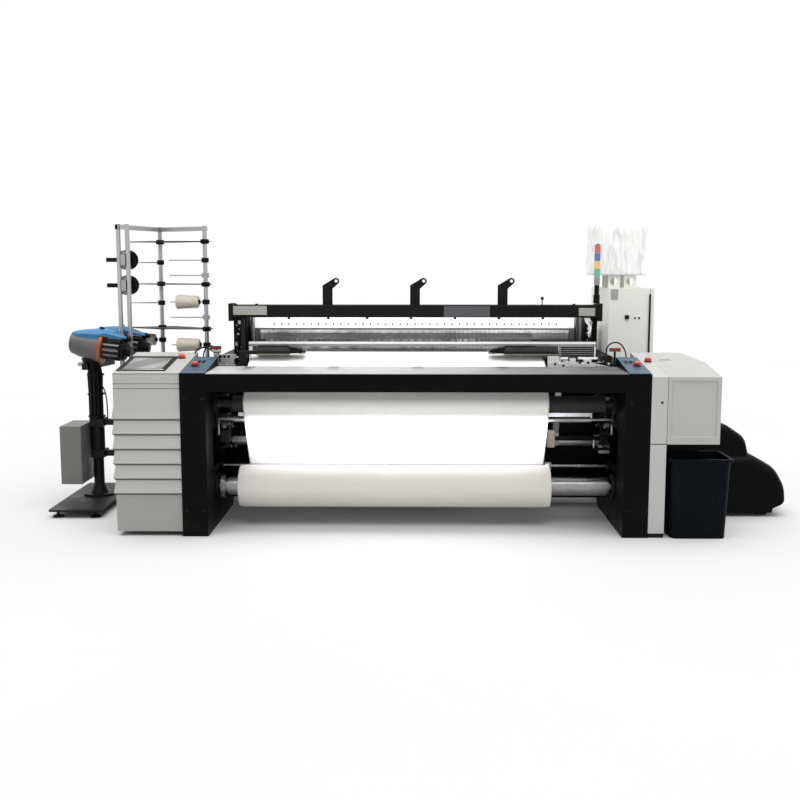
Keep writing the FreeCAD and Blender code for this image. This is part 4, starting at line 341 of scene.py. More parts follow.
painted("lintel_black", (0.0055, 0.0058, 0.006), 0.40, 0.15, 0.1, specular=0.12)
painted("fold_shadow", (0.085, 0.085, 0.081), 0.6, specular=0.1)
# A darker copy of the cabinet grey for the low front: painted shade.
painted("cabinet_low_shade", tone(GREY, 0.76), 0.45, 0.12, 0.03, 0.15, specular=0.3)
painted("strip_white", (0.387, 0.3915, 0.3735), 0.40, 0.12, 0.03, 0.08, specular=0.35)
creased("cover_white", (0.90, 0.91, 0.89), (0.52, 0.54, 0.54))
painted("box_grey", (0.135, 0.138, 0.13), 0.42, 0.12, 0.03, specular=0.3)
painted("dark_joint", (0.014, 0.014, 0.014), 0.7, specular=0.05)
painted("plate_pale", (0.34, 0.34, 0.31), 0.35, 0.05, specular=0.3)
painted("plate_dark", (0.075, 0.078, 0.085), 0.35, 0.05, specular=0.3)
moulded("fitting_cream", (0.20, 0.18, 0.12), 0.45, 0.1, 0.3)
brushed("fitting_silver", (0.33, 0.33, 0.335), 0.34, (8, 8, 8), metallic=0.6)
brushed("drum_grey", (0.15, 0.15, 0.152), 0.36, (8, 8, 8), metallic=0.6)
brushed("spring_steel", (0.12, 0.10, 0.08), 0.38, (8, 8, 8), metallic=0.8)
brushed("edge_silver", (0.66, 0.66, 0.665), 0.36, (8, 8, 8), metallic=0.35)
painted("temple_black", (0.0022, 0.0023, 0.0026), 0.36, 0.15, 0.1, specular=0.16)
moulded("tap_orange", (0.17, 0.034, 0.016), 0.35, 0.05, 0.4)
moulded("knob_orange", (0.62, 0.062, 0.018), 0.30, 0.05, 0.5, 0.2)
moulded("knob_dark_red", (0.11, 0.010, 0.010), 0.32, 0.05, 0.4)
for name, colour in {"lens_grey": (0.24, 0.26, 0.27),
                     "lens_green": (0.10, 0.42, 0.30),
                     "lens_yellow": (0.80, 0.48, 0.10),
                     "lens_blue": (0.07, 0.15, 0.46),
                     "lens_red": (0.62, 0.09, 0.10)}.items():
    moulded(name, colour, 0.2, 0.05, 0.5, 0.3, 300)
painted("slat_white", (0.93, 0.94, 0.94), 0.34, 0.06, 0.02, specular=0.4)
brushed("heddle_steel", (0.125, 0.13, 0.134), 0.38, (14, 14, 0.6), metallic=0.7)
brushed("dent_steel", (0.085, 0.085, 0.087), 0.38, (20, 20, 2), metallic=0.7)
rivets = Finish("rivet_dark", metallic=0.6, rough=0.4)
rivets.colour(rivets.ramp(rivets.noise(90, 2), [(0.3, (0.008,) * 3), (0.7, (0.02,) * 3)]))


# ---- dressing the CAD nodes

def dress(node, *names, pick=None):
    """Gives a CAD node its finishes; pick tells which one a face takes from its middle and normal."""
    thing = frame["nodes"][node]
    mesh = thing.data
    mesh.materials.clear()
    for name in names:
        mesh.materials.append(finishes[name])
    if pick is not None:
        for face in mesh.polygons:
            face.material_index = int(pick(thing.matrix_world @ face.center / MM + ORIGIN, face.normal))


def round_edges(thing, width, segments, angle):
    """A small bevel on the edges that are sharper than the angle."""
    bevel = thing.modifiers.new("bevel", "BEVEL")
    bevel.width = width * MM
    bevel.segments = segments
    bevel.limit_method = "ANGLE"
    bevel.angle_limit = math.radians(angle)
    bevel.harden_normals = False
    weigh = thing.modifiers.new("weigh", "WEIGHTED_NORMAL")
    weigh.keep_sharp = False


def soften(node, width):
    """Breaks the sharp edges of a CAD node's look."""
    thing = frame["nodes"][node]
    weld = thing.modifiers.new("weld", "WELD")
    weld.merge_threshold = 0.00002
    round_edges(thing, width, segments=2, angle=30)


slots = {part["node"]: part["material_slot"] for part in frame["record"]["subparts"]}
for node_name in frame["nodes"]:
    dress(node_name, slots[node_name])


PANEL_SLOPE = 0.1405
TOWER_X, TOWER_Y, TOWER_Z, LENS_HEIGHT = 1092, 755, 1358, 48


def slope_height(height, y):
    return height + PANEL_SLOPE * y


# Pleat undersides take the fold shadow and the front below 232 mm a darker grey: both are painted shade.
def folds(middle, normal):
    if normal.z < -0.4:
        return 1
    return 2 if middle.z < 232 else 0


def screen_parts(middle, normal):
    over = middle.z - slope_height(898, middle.y)
    if normal.z > 0.9 and over < 5.5:
        return 0
    return 2 if normal.z > 0.9 and middle.y < 66 else 1


def tower_parts(middle, normal):
    rise = middle.z - TOWER_Z
    if rise < 0 or rise > 5 * LENS_HEIGHT:
        return 0
    return 6 if math.hypot(middle.x - TOWER_X, middle.y - TOWER_Y) < 16.9 else 1 + min(4, int(rise / LENS_HEIGHT))


FEEDERS, FEEDER_Z = ((-1917, 800), (-1875, 1090)), 972
DIP_COS, DIP_SIN = 0.9925, 0.1219


def drum_parts(middle, normal):
    best = None
    for x, y in FEEDERS:
        along = (middle.x - x) * DIP_COS - (middle.z - FEEDER_Z) * DIP_SIN
        lift = (middle.x - x) * DIP_SIN + (middle.z - FEEDER_Z) * DIP_COS
        away = math.hypot(middle.y - y, lift)
        if best is None or away < best[1]:
            best = (along, away)
    if best[0] > 112 or best[0] < 18:
        return 1
    return 0 if best[1] > 61 else 2


def nozzle_parts(middle, normal):
    if middle.z > 990 and middle.x < -1120:
        return 2
    return 1 if middle.x > -1022 and middle.z > 925 else 0


def edge_parts(middle, normal):
    if middle.x > 1120 and middle.z > 980:
        return 2 if middle.x > 1180 else 1
    return 0 if middle.z > 897 and middle.x < 1062 else 2


PEGS = ((1450, 1496), (1450, 1228), (1250, 1510), (1250, 1412), (1250, 1240), (1250, 1140), (1450, 980),
        (1250, 960))


def holder_parts(middle, normal):
    near = min(math.hypot(middle.y - y, middle.z - z) for y, z in PEGS)
    if near < 5.5:
        return 1
    pale = middle.x > -1400 and min(abs(middle.z - 1412), abs(middle.z - 1140)) < 17
    clamp = middle.x < -1700 and middle.y < 966
    return 2 if pale or clamp else 0


dress("left_cabinet", "cabinet_grey", "fold_shadow", "cabinet_low_shade", pick=folds)
dress("operator_screen", "screen_glass", "clamp_black", "plate_pale", pick=screen_parts)
dress("signal_tower", "clamp_black", "lens_grey", "lens_green", "lens_yellow", "lens_blue", "lens_red",
      "strip_white", pick=tower_parts)
dress("feeder_drums", "drum_grey", "clamp_black", "steel_dark", pick=drum_parts)
dress("nozzle_unit", "fitting_silver", "steel_dark", "knob_dark_red", pick=nozzle_parts)
dress("selvedge_unit", "edge_silver", "tap_orange", "steel_dark", pick=edge_parts)
dress("creel_holders", "clamp_black", "aluminium_bright", "plate_pale", pick=holder_parts)
dress("corner_panels", "panel_blue", "frame_black", pick=lambda middle, normal: normal.z < 0.7)
dress("lintel_posts", "frame_black", "fitting_silver",
      pick=lambda middle, normal: abs(middle.x) < 1016 and middle.z > 880)
dress("electrical_cabinet_door", "cabinet_white", "dark_joint",
      pick=lambda middle, normal: middle.x > 1534 and middle.y < 1329.9)
dress("lintel", "lintel_black")
dress("breast_plate", "plate_top")
dress("right_strip_cover", "strip_white")
dress("feeder_box", "box_grey")
dress("stop_button_left", "knob_orange")
dress("cloth_roll", "cloth_rolled_shaded")

for node_name, edge in (("left_cabinet", 1.5), ("right_cabinet", 2), ("right_strip_cover", 1.5),
                        ("electrical_cabinet", 1.5), ("electrical_cabinet_door", 2), ("corner_panels", 1.2),
                        ("side_frame_left", 2.5), ("side_frame_right", 2.5), ("lintel", 1.5),
                        ("lintel_posts", 1.5), ("breast_beam", 2), ("lower_beam", 2), ("rear_beam", 2),
                        ("feeder_box", 2), ("operator_screen", 1.2), ("breast_plate", 0.8),
                        ("creel_trays", 0.8), ("temples", 1.2), ("nozzle_unit", 1), ("selvedge_unit", 1),
                        ("main_switch", 1), ("feeder_covers", 5)):
    soften(node_name, edge)


# ---- building in mesh code

def turns(sides, closing=0):
    """Angles once round, with the first one again at the end if closing is 1."""
    return [2 * math.pi * step / sides for step in range(sides + closing)]


class Shape:
    """A mesh under construction, in millimetres of the loom."""

    def __init__(self):
        self.mesh = bmesh.new()
        self.paint = 0
        self.around = self.mesh.loops.layers.uv.new("UVMap")

    def face(self, corners, smooth=False):
        made = self.mesh.faces.new(corners)
        made.material_index = self.paint
        made.smooth = smooth
        return made

    def box(self, x0, x1, y0, y1, z0, z1):
        return self.prism("X", [(y0, z0), (y1, z0), (y1, z1), (y0, z1)], *sorted((x0, x1)))

    def prism(self, axis, outline, low, high):
        """A closed outline pushed along X or Y; outlines are (y, z) or (x, z)."""
        def corner(first, second, level):
            return {"X": (level, first, second), "Y": (first, level, second)}[axis]
        return self.loft([[corner(first, second, level) for first, second in outline]
                          for level in (low, high)], False)

    def spin(self, axis, centre, profile, sides=24, smooth=True):
        """(place along, radius) points turned about an axis through centre."""
        named = {"X": (1, 0, 0), "Y": (0, 1, 0), "Z": (0, 0, 1)}
        along = Vector(named[axis] if isinstance(axis, str) else axis).normalized()
        out = along.orthogonal().normalized()
        side = along.cross(out)
        centre = Vector(centre)
        rings = []
        for place, radius in profile:
            middle = centre + along * place
            if radius < 1e-6:
                rings.append([self.mesh.verts.new(middle)])
                continue
            rings.append([self.mesh.verts.new(middle + out * radius * math.cos(turn) + side * radius * math.sin(turn))
                          for turn in turns(sides)])
        self.skin(rings, smooth, False)
        if len(rings[0]) > 1:
            self.face(rings[0])
        if len(rings[-1]) > 1:
            self.face(rings[-1][::-1])
        return self

    def tube(self, points, radius, sides=8, capped=True):
        """A round bar through points."""
        points = [Vector(point) for point in points]
        rings = []
        out = None
        for index, point in enumerate(points):
            ahead = points[min(index + 1, len(points) - 1)] - points[max(index - 1, 0)]
            ahead.normalize()
            out = ahead.orthogonal() if out is None else out - ahead * out.dot(ahead)
            out.normalize()
            side = ahead.cross(out)
            rings.append([self.mesh.verts.new(point + (out * math.cos(turn) + side * math.sin(turn)) * radius)
                          for turn in turns(sides)])
        return self.skin(rings, True, capped)

    def coil(self, start, end, radius, wire, turns):
        """A helical spring from start to end."""
        start, end = Vector(start), Vector(end)
        along = (end - start).normalized()
        out = along.orthogonal().normalized()
        side = along.cross(out)
        steps = int(turns * 12)
        return self.tube([start + (end - start) * (step / steps)
                          + (out * math.cos(step * math.pi / 6) + side * math.sin(step * math.pi / 6)) * radius
                          for step in range(steps + 1)], wire, 6)

    def rod(self, axis, centre, low, high, radius, edge, lean, sides):
        """A round bar whose ends narrow by lean over the length of edge."""
        return self.spin(axis, centre, [(low, radius - lean), (low + edge, radius), (high - edge, radius),
                                        (high, radius - lean)], sides)

    def screw(self, centre, direction, radius=6, height=3):
        """A round head with a hexagon socket."""
        direction = Vector(direction).normalized()
        self.spin(direction, centre, [(-1, radius), (height * 0.7, radius), (height, radius * 0.8),
                                      (height, radius * 0.45)], 12)
        self.spin(direction, centre, [(height * 0.4, radius * 0.45), (height, radius * 0.45)], 6, False)
        return self

    def grid(self, rows, uvs):
        """A sheet through rows of points, with its own cloth coordinates in metres."""
        made = [[self.mesh.verts.new(point) for point in row] for row in rows]
        for one in range(len(rows) - 1):
            for two in range(len(rows[0]) - 1):
                spots = [(one, two), (one, two + 1), (one + 1, two + 1), (one + 1, two)]
                face = self.face([made[a][b] for a, b in spots], True)
                for loop, (a, b) in zip(face.loops, spots):
                    loop[self.around].uv = uvs[a][b]
        return self

    def wind(self, y, z, profile, sides, mark):
        """Yarn turned about an X axis from (x, radius) points; mark tells the cloth coordinates of a place."""
        angles = turns(sides, 1)
        self.grid([[(x, y + across * math.cos(turn), z + across * math.sin(turn)) for turn in angles]
                   for x, across in profile],
                  [[mark(index, x, across, turn) for turn in angles] for index, (x, across) in enumerate(profile)])
        bmesh.ops.remove_doubles(self.mesh, verts=self.mesh.verts[:], dist=0.01)
        return self

    def loft(self, rings, smooth=True):
        """Closed rings of points joined one to the next, with both ends filled."""
        return self.skin([[self.mesh.verts.new(point) for point in ring] for ring in rings], smooth)

    def skin(self, rings, smooth, capped=True):
        """Faces between rings of vertices, or a ring and a point, and over both ends."""
        for first, second in zip(rings[:-1], rings[1:]):
            sides = max(len(first), len(second))
            for step in range(sides):
                following = (step + 1) % sides
                corners = dict.fromkeys((first[step % len(first)], first[following % len(first)],
                                         second[following % len(second)], second[step % len(second)]))
                if len(corners) > 2:
                    self.face(list(corners), smooth)
        if capped:
            self.face(rings[0][::-1])
            self.face(rings[-1])
        return self

    def piece(self, name, slot, *materials, body="frame", bevel=0.0, thick=0.0, segments=2, blend=None,
              replaces=None):
        """Ends the mesh as a piece that rides on a body, or with blend set stays fixed in the row frame, in the
        slot's own finish or in those named.
        """
        bmesh.ops.recalc_face_normals(self.mesh, faces=self.mesh.faces[:])
        for vertex in self.mesh.verts:
            vertex.co = at(*vertex.co)
        data = bpy.data.meshes.new(name)
        self.mesh.to_mesh(data)
        self.mesh.free()
        for material in materials or [slot]:
            data.materials.append(finishes[material])
        thing = stand(name, data)
        if thick:
            solid = thing.modifiers.new("thick", "SOLIDIFY")
            solid.thickness = thick * MM
            solid.offset = 0
        if bevel:
            round_edges(thing, bevel, segments, angle=35)
        if blend:
            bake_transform(thing)
        else:
            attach(thing, body)
        if replaces:
            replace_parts(thing, replaces)
        return thing


def web(stations):
    """Places and headings along a taut web; stations are (y, z, radius, side)."""
    step = 8.0
    headings = []
    for (y1, z1, radius1, side1), (y2, z2, radius2, side2) in zip(stations[:-1], stations[1:]):
        offset = side2 * radius2 - side1 * radius1
        headings.append(math.atan2(z2 - z1, y2 - y1) - math.asin(offset / math.hypot(y2 - y1, z2 - z1)))

    def spot(station, heading):
        y, z, radius, side = station
        return (y + math.sin(heading) * side * radius, z - math.cos(heading) * side * radius)

    places = []
    for index, heading in enumerate(headings):
        if index > 0:
            before = headings[index - 1]
            side = stations[index][3]
            turn = side * ((side * (heading - before)) % (2 * math.pi))
            parts = max(2, int(abs(turn) * stations[index][2] / step * 1.6) + 1)
            for part in range(parts):
                here = before + turn * part / parts
                places.append((*spot(stations[index], here), here, 0.0))
        start, end = spot(stations[index], heading), spot(stations[index + 1], heading)
        length = math.dist(start, end)
        parts = max(2, int(length / (step * 2)))
        for part in range(parts + (index == len(headings) - 1)):
            share = part / parts
            free = math.sin(math.pi * share) * min(1.0, length / 150)
            places.append((start[0] + (end[0] - start[0]) * share, start[1] + (end[1] - start[1]) * share,
                           heading, free))
    return places


def lay_sheet(places, low, high, columns, ripple, seed):
    """Rows of points and cloth coordinates of a web between low and high, with slight free ripples."""
    draw = random.Random(seed)
    waves = [(draw.uniform(0.004, 0.03), draw.uniform(0, 6.28), draw.uniform(0.4, 1.0)) for _ in range(7)]
    rows, uvs = [], []
    run = 0.0
    for index, (y, z, heading, free) in enumerate(places):
        if index:
            run += math.dist((y, z), places[index - 1][:2])
        row, marks = [], []
        for column in range(columns + 1):
            x = low + (high - low) * column / columns
            lift = sum(size * math.sin(x * rate + phase + run * 0.002) for rate, phase, size in waves) / 4
            lift *= ripple * free
            row.append((x, y - math.sin(heading) * lift, z + math.cos(heading) * lift))
            marks.append((x * MM, run * MM))
        rows.append(row)
        uvs.append(marks)
    return rows, uvs, run


# ---- cloth and warp

CLOTH = (-965, 751)
LIFT = 1.3
# (y, z) of what carries the webs, and radii
FELL, STOP_MOTION = (600, 968), (955, 958)
GUIDE, TAKE_UP, PRESS, BAR = (404, 878), (273, 699), (288, 609), (432, 316)
CLOTH_BEAM, ROLL_RADIUS = (300, 222), 120
WARP_BEAM, WARP_RADIUS = (1440, 462), 325
BACK_REST, BACK_REST_RADIUS = (1640, 990), 62

for name, slot, node, stations, ripple, seed, thick, carriers in (
        ("cloth", "cloth_white", "cloth_web",
         [(*FELL, 0, 1), (*GUIDE, 14 + LIFT, 1), (*TAKE_UP, 47 + LIFT, 1), (*PRESS, 17 + LIFT, 1),
          (*BAR, 8 + LIFT, -1), (*CLOTH_BEAM, ROLL_RADIUS + LIFT, -1)],
         1.1, 3, 0.7, ["cloth_guides", "take_up_roller", "press_roller"]),
        ("warp_threads", "warp_white", "warp_sheet",
         [(*WARP_BEAM, WARP_RADIUS + LIFT, 1), (*BACK_REST, BACK_REST_RADIUS + LIFT, 1), (*STOP_MOTION, 0, 1)],
         0.6, 5, 0.8, ["back_rest_roller", "warp_beam"])):
    rows, uvs, length = lay_sheet(web(stations), *CLOTH, 150, ripple, seed)
    sheet = Shape().grid(rows, uvs).piece(name, slot, thick=thick, replaces=node)
    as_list(carriers)


def rolled(name, slot, body, node, centre, radius, low, high, core, finish_name, swell, seed):
    """A wound package: a slightly uneven round and ends stepped by the single layers."""
    draw = random.Random(seed)
    layers, columns = 14, 60
    offsets = [draw.uniform(-1, 1) for _ in range(layers)]
    climb = [core + (radius - 4 - core) * (layer / (layers - 1)) for layer in range(layers)]
    profile = [(low + 1.6 + offset * 1.1, across) for offset, across in zip(offsets, climb)]
    for column in range(columns + 1):
        share = column / columns
        edge = min(share, 1 - share) * columns
        drop = 3.0 * max(0.0, 1 - edge) ** 2
        wave = swell * (math.sin(share * 21 + seed) + 0.6 * math.sin(share * 57 + 1.3 * seed)) / 1.6
        profile.append((low + 2.5 + (high - low - 5) * share, radius - drop - swell + wave * 0.5))
    profile += [(high - 1.6 - offset * 1.1, across) for offset, across in zip(offsets, climb[::-1])]

    def mark(index, x, across, turn):
        if layers <= index < len(profile) - layers:
            return x * MM, turn * radius * MM
        return turn * 0.02, across * MM

    Shape().wind(*centre, profile, 96, mark).piece(name, slot, finish_name, body=body, replaces=node)


rolled("cloth_package", "cloth_white", "cloth_beam", "cloth_roll", CLOTH_BEAM, ROLL_RADIUS, -998, 768, 52.2,
       "cloth_rolled_shaded", 0.5, 4)
rolled("warp_package", "warp_white", "warp_beam", "warp_yarn", WARP_BEAM, WARP_RADIUS, -974.5, 759.5, 84.3,
       "warp_white", 0.6, 7)


# ---- healds, heddles, reed and yarns

FIRST_YARN, YARN_PITCH, YARNS = -959, 2, 855
IDLE_HEDDLES = 96
EYE, HEDDLE_HALF = 962, 0.55
FIRST_HEALD, HEALD_PITCH = 851.5, 22
HEALD_ENDS, HEALD_INNER = (-985, 975), (-961, 951)
SLAT_LOW, SLAT_HIGH = 1094, 1160

for index in range(4):
    number = index + 1
    heald = "heald_%d" % number
    y = FIRST_HEALD + HEALD_PITCH * index
    front, back = y - 5.5, y + 5.5
    shape = Shape()
    shape.box(*HEALD_ENDS, front, back, SLAT_LOW, SLAT_HIGH)
    # Painted shade: the lower slat and the side struts are aluminium but take the dark dent steel; the heddle rods
    # take it as steel.
    shape.paint = 1
    shape.box(*HEALD_ENDS, front, back, 705, 795)
    for end, inner in zip(HEALD_ENDS, HEALD_INNER):
        shape.box(end, inner, front, back, 794, SLAT_LOW + 1)
    for level in (787, 1084):
        shape.box(*HEALD_INNER, y - 1.5, y + 1.5, level, level + 12)
    shape.paint = 2
    for count in range(39):
        shape.spin("Y", (-865 + count * 1731 / 38, front, 1118), [(-0.9, 5.6), (0.6, 5.6)], 12)
    shape.piece("heald_slats_%d" % number, "aluminium_bright", "slat_white", "dent_steel", "rivet_dark",
                body=heald, bevel=0.8, replaces="heald_frame_%d" % number)
    shape = Shape()
    side = [(HEDDLE_HALF, 790), (HEDDLE_HALF, EYE - 9), (0.9, EYE - 4), (0.9, EYE + 4), (HEDDLE_HALF, EYE + 9),
            (HEDDLE_HALF, SLAT_LOW - 1)]
    for yarn in range(index, YARNS + IDLE_HEDDLES, 4):
        x = FIRST_YARN + YARN_PITCH * yarn
        shape.prism("Y", [(x - side[0][0], side[0][1])] + [(x + half, z) for half, z in side]
                    + [(x - half, z) for half, z in side[:0:-1]], y - 0.9, y + 0.9)
    shape.piece("heddles_%d" % number, "aluminium_bright", "heddle_steel", body=heald)
    for end, label, finish_name in (((0, *FELL), "front", "warp_white"), ((0, *STOP_MOTION), "rear", "warp_shade")):
        shape = Shape()
        for yarn in range(index, YARNS, 4):
            x = FIRST_YARN + YARN_PITCH * yarn
            shape.tube([(x, y, EYE), (x, end[1], end[2])], 0.32, 3, False)
        shape.piece("shed_yarns_%s_%d" % (label, number), "warp_white", finish_name,
                    blend=("frame", heald, at(*end), at(0, y, EYE)))

REED_DEPTH, REED_FOOT, REED_HEAD = (662, 678), 873, 1011

shape = Shape()
low, high, block = -994, 1078, 866
shape.box(low, high, *REED_DEPTH, 1010, 1022)
shape.paint = 2
shape.box(low + 1, high - 1, 660.8, 666, 996, 1010.4)
shape.paint = 0
shape.box(low, low + 20, *REED_DEPTH, REED_FOOT, REED_HEAD)
shape.paint = 1
shape.box(low, high, *REED_DEPTH, 837, 874)
for count in range(int((block - low - 24) / 4)):
    x = low + 22 + 4 * count
    shape.box(x, x + 0.9, 666, 674, 872, 1012)
shape.paint = 3
shape.box(block, high, 666, 677, REED_FOOT, REED_HEAD)
shape.paint = 2
for level in range(884, 1004, 12):
    shape.box(block + 8, high - 10, 663.6, 667, level, level + 4)
shape.box(block - 4, block + 6, 661, 678, REED_FOOT, REED_HEAD)
shape.paint = 0
shape.box(high - 8, high, 661, 679, REED_FOOT, REED_HEAD)
shape.piece("reed_dents", "steel_plate", "slat_white", "dent_steel", "fitting_silver", "dark_joint",
            body="sley", bevel=0.25, segments=1, replaces="reed")

FIRST_RAIL, RAIL_SPAN, RAILS, WIRES = 1040, 136, 4, 213

shape = Shape()
rise = (BACK_REST[1] + BACK_REST_RADIUS - STOP_MOTION[1]) / (BACK_REST[0] - STOP_MOTION[0])
for rail in range(RAILS):
    front = FIRST_RAIL + RAIL_SPAN * rail / (RAILS - 1)
    height = STOP_MOTION[1] + (front - STOP_MOTION[0]) * rise
    for wire in range(WIRES):
        x = -956 + 8 * wire + 2 * rail
        shape.prism("X", [(front - 3, height + 64), (front + 8.5, height + 70), (front + 17, height + 64),
                          (front + 17, height + 26), (front + 12, height - 46), (front + 2, height - 46),
                          (front - 3, height + 26)], x, x + 0.4)
shape.piece("drop_wires", "steel_plate", "heddle_steel")


# ---- cones on the creel

YARN_SCALE = 6

for name, (x_end, y, z) in {"cone_upper": (-1409, 1250, 1240), "cone_low": (-1409, 1250, 960),
                            "cone_back": (-1748, 1450, 980)}.items():
    shape = Shape()
    start = x_end - 150
    profile = [(start + 1, 17), (start + 1, 30), (start + 2, 38), (start + 6, 44), (start + 12, 45.6)]
    profile += [(start + 12 + 126 * step / 12, 45.6 - 6.8 * step / 12 + 0.35 * math.sin(step * 2.1))
                for step in range(1, 12)]
    profile += [(start + 143, 38.4), (start + 148, 35), (start + 149, 28), (start + 149, 17)]
    shape.wind(y, z, profile, 48,
               lambda index, x, across, turn: (turn * 0.045 * YARN_SCALE, (x - start) * MM * YARN_SCALE))
    shape.paint = 1
    shape.spin("X", (0, y, z), [(start - 3, 17), (start + 2, 17.4), (x_end + 8, 14.6), (x_end + 9, 12.5),
                                (start - 3, 14.6)], 32)
    shape.piece(name, "cone_yarn", "cone_yarn", "clamp_black",
                replaces="yarn_cones" if name == "cone_upper" else None)


# ---- hoods and covers

def crown(place, low, high, front, back):
    """How far a hood's skin drops near its front and back edges."""
    drop = 0.0
    for inside, reach, part in ((place - low, front, 0.9), (high - place, back, 0.42)):
        if inside < reach:
            drop = reach * part * (1 - math.sqrt(max(0.0, 1 - (1 - inside / reach) ** 2)))
    return drop


def hood(name, node, outline, low, high, front, back):
    """A black hood lofted from front to back over one outline; outlines are (x, z)."""
    x0, z0 = outline[0]
    wide = max(x for x, z in outline) - x0
    tall = max(z for x, z in outline) - z0
    places = [low + front * (1 - math.cos(step * math.pi / 16)) for step in range(9)]
    places += [high - back * math.sin(step * math.pi / 16) for step in range(8, -1, -1)]
    rings = []
    for place in places:
        drop = crown(place, low, high, front, back)
        rings.append([(x0 + (x - x0) * (1 - 0.5 * drop / wide), place, z0 + (z - z0) * (1 - drop / tall))
                      for x, z in outline])
    Shape().loft(rings).piece(name, "cover_black", bevel=3, segments=3, replaces=node)


def bent(corners, parts=6):
    """Rounds the corners of an outline; each corner is (x, z, radius)."""
    made = []
    for index, (x, z, radius) in enumerate(corners):
        here = Vector((x, z))
        before = (Vector(corners[index - 1][:2]) - here)
        after = (Vector(corners[(index + 1) % len(corners)][:2]) - here)
        start = here + before.normalized() * min(radius, before.length * 0.48)
        end = here + after.normalized() * min(radius, after.length * 0.48)
        if radius <= 0:
            made.append((x, z))
            continue
        for step in range(parts + 1):
            share = step / parts
            spot = start * (1 - share) ** 2 + here * 2 * share * (1 - share) + end * share ** 2
            made.append((spot.x, spot.y))
    return made


hood("drive_hood_lower", "drive_cover_lower",
     bent([(1358, 24, 0), (1358, 366, 20), (1990, 366, 34), (2130, 286, 46), (2190, 180, 40), (2198, 84, 24),
           (2130, 50, 10), (2126, 24, 0)]), 501, 978, 60, 200)
hood("drive_hood_upper", "drive_cover_upper",
     bent([(1661, 350, 0), (1661, 548, 20), (1834, 545, 26), (1952, 466, 40), (1974, 374, 14), (1974, 350, 0)]),
     531, 908, 46, 160)
shape = Shape()
for x in (1477, 2040):
    for y in (560, 860):
        shape.box(x, x + 60, y, y + 60, 0.5, 25)
shape.piece("hood_pads", "cover_black", "cable_black", bevel=2)
shape = Shape()
shape.box(1362, 1600, 262, 560, 372, 516.8)
shape.box(1272, 1355, 6, 130, 0.6, 24.8)
shape.piece("drive_tray", "cover_black", "cable_black", bevel=3)

BOX_X, BOX_Y, BOX_WIDE, BOX_DEEP = 1357, 1570, 176, 210
BOX_LOW, BOX_TALL, BOX_ROWS, TOP_FOLD = 1413, 345, 28, 53

rings = []
levels = [BOX_LOW + BOX_TALL * step / BOX_ROWS for step in range(BOX_ROWS + 1)]
for level in levels + [levels[-1]] * 5:
    shrink = (1.0, 0.9, 0.7, 0.45, 0.2, 0.04)[max(0, len(rings) - BOX_ROWS)]
    ring = []
    for turn in turns(128):
        x, y = math.cos(turn), math.sin(turn)
        grow = 1 / (abs(x) ** 9 + abs(y) ** 9) ** (1 / 9)
        spot = Vector((BOX_X + BOX_WIDE * x * grow * shrink, BOX_Y + BOX_DEEP * y * grow * shrink, level))
        fold = Vector((spot.x * 0.013, spot.y * 0.013, spot.z * 0.0035))
        cut = abs(noise.noise(fold)) * 20 + abs(noise.noise(fold * 2.7 + Vector((5, 3, 1)))) * 9
        near_top = max(0.0, (level - BOX_LOW - BOX_TALL + TOP_FOLD) / TOP_FOLD)
        spot -= Vector((x, y, 0)).normalized() * (cut + near_top ** 2 * 10) * shrink
        spot.z -= abs(noise.noise(fold * 1.6)) * 30 * near_top
        ring.append(tuple(spot))
    rings.append(ring)
Shape().loft(rings).piece("upper_box_cover", "cabinet_white", "cover_white", replaces="upper_box")


# ---- screws, plates, seams

def slab(shape, x0, x1, y0, y1, low, high):
    """A flat box that lies along the slope of the panels."""
    shape.prism("X", [(y0, slope_height(low, y0)), (y1, slope_height(low, y1)),
                      (y1, slope_height(high, y1)), (y0, slope_height(high, y0))], x0, x1)


shape = Shape()
for x, z in ((-1245, 760), (-1148, 760), (-1245, 142), (-1146, 143), (1164, 742), (1165, 145), (1257, 145)):
    shape.screw((x, 0, z), (0, -1, 0), 7, 4)
for x in (-1082, -955, 955, 1082):
    shape.screw((x, 740, 1240), (0, 0, 1), 9, 7)
for x in (-1024, -760, -522, -288, -24, 240, 504, 768, 1024):
    shape.spin("Z", (x, 724, 0), [(1154, 7), (1157, 8.5), (1166.5, 8.5)], 6, False)
for side in (-1, 1):
    for y, z in ((730, 1182), (790, 1182), (730, 1224), (790, 1224)):
        shape.screw((side * 1120, y, z), (side, 0, 0), 7, 4)
shape.piece("frame_screws", "frame_black", "steel_dark")

shape = Shape()
shape.box(-1092, -889, 698.8, 700.2, 1181, 1234)
shape.box(979, 1076, 698.8, 700.2, 1176, 1223)
shape.piece("lintel_plates", "frame_black", "plate_pale", bevel=0.6)
Shape().box(173, 449, 698.6, 700.2, 1170, 1234).piece(
    "lintel_plate_dark", "frame_black", "plate_dark", bevel=0.6)
shape = Shape()
shape.prism("Y", [(1012, 1164), (1048, 1164), (1058, 1140), (1060, 1100), (1052, 1060), (1046, 1040), (1038, 1060),
                  (1034, 1120), (1020, 1140)], 712.4, 715.2)
shape.piece("post_bracket", "frame_black", "slat_white", bevel=0.6)
shape = Shape()
for x in (-1000, 990):
    shape.coil((x, 824, 1018), (x, 824, 1152), 8.5, 1.7, 20)
    shape.spin("Z", (x, 824, 0), [(1008, 6), (1160, 6)], 12)
shape.piece("slide_springs", "frame_black", "spring_steel")

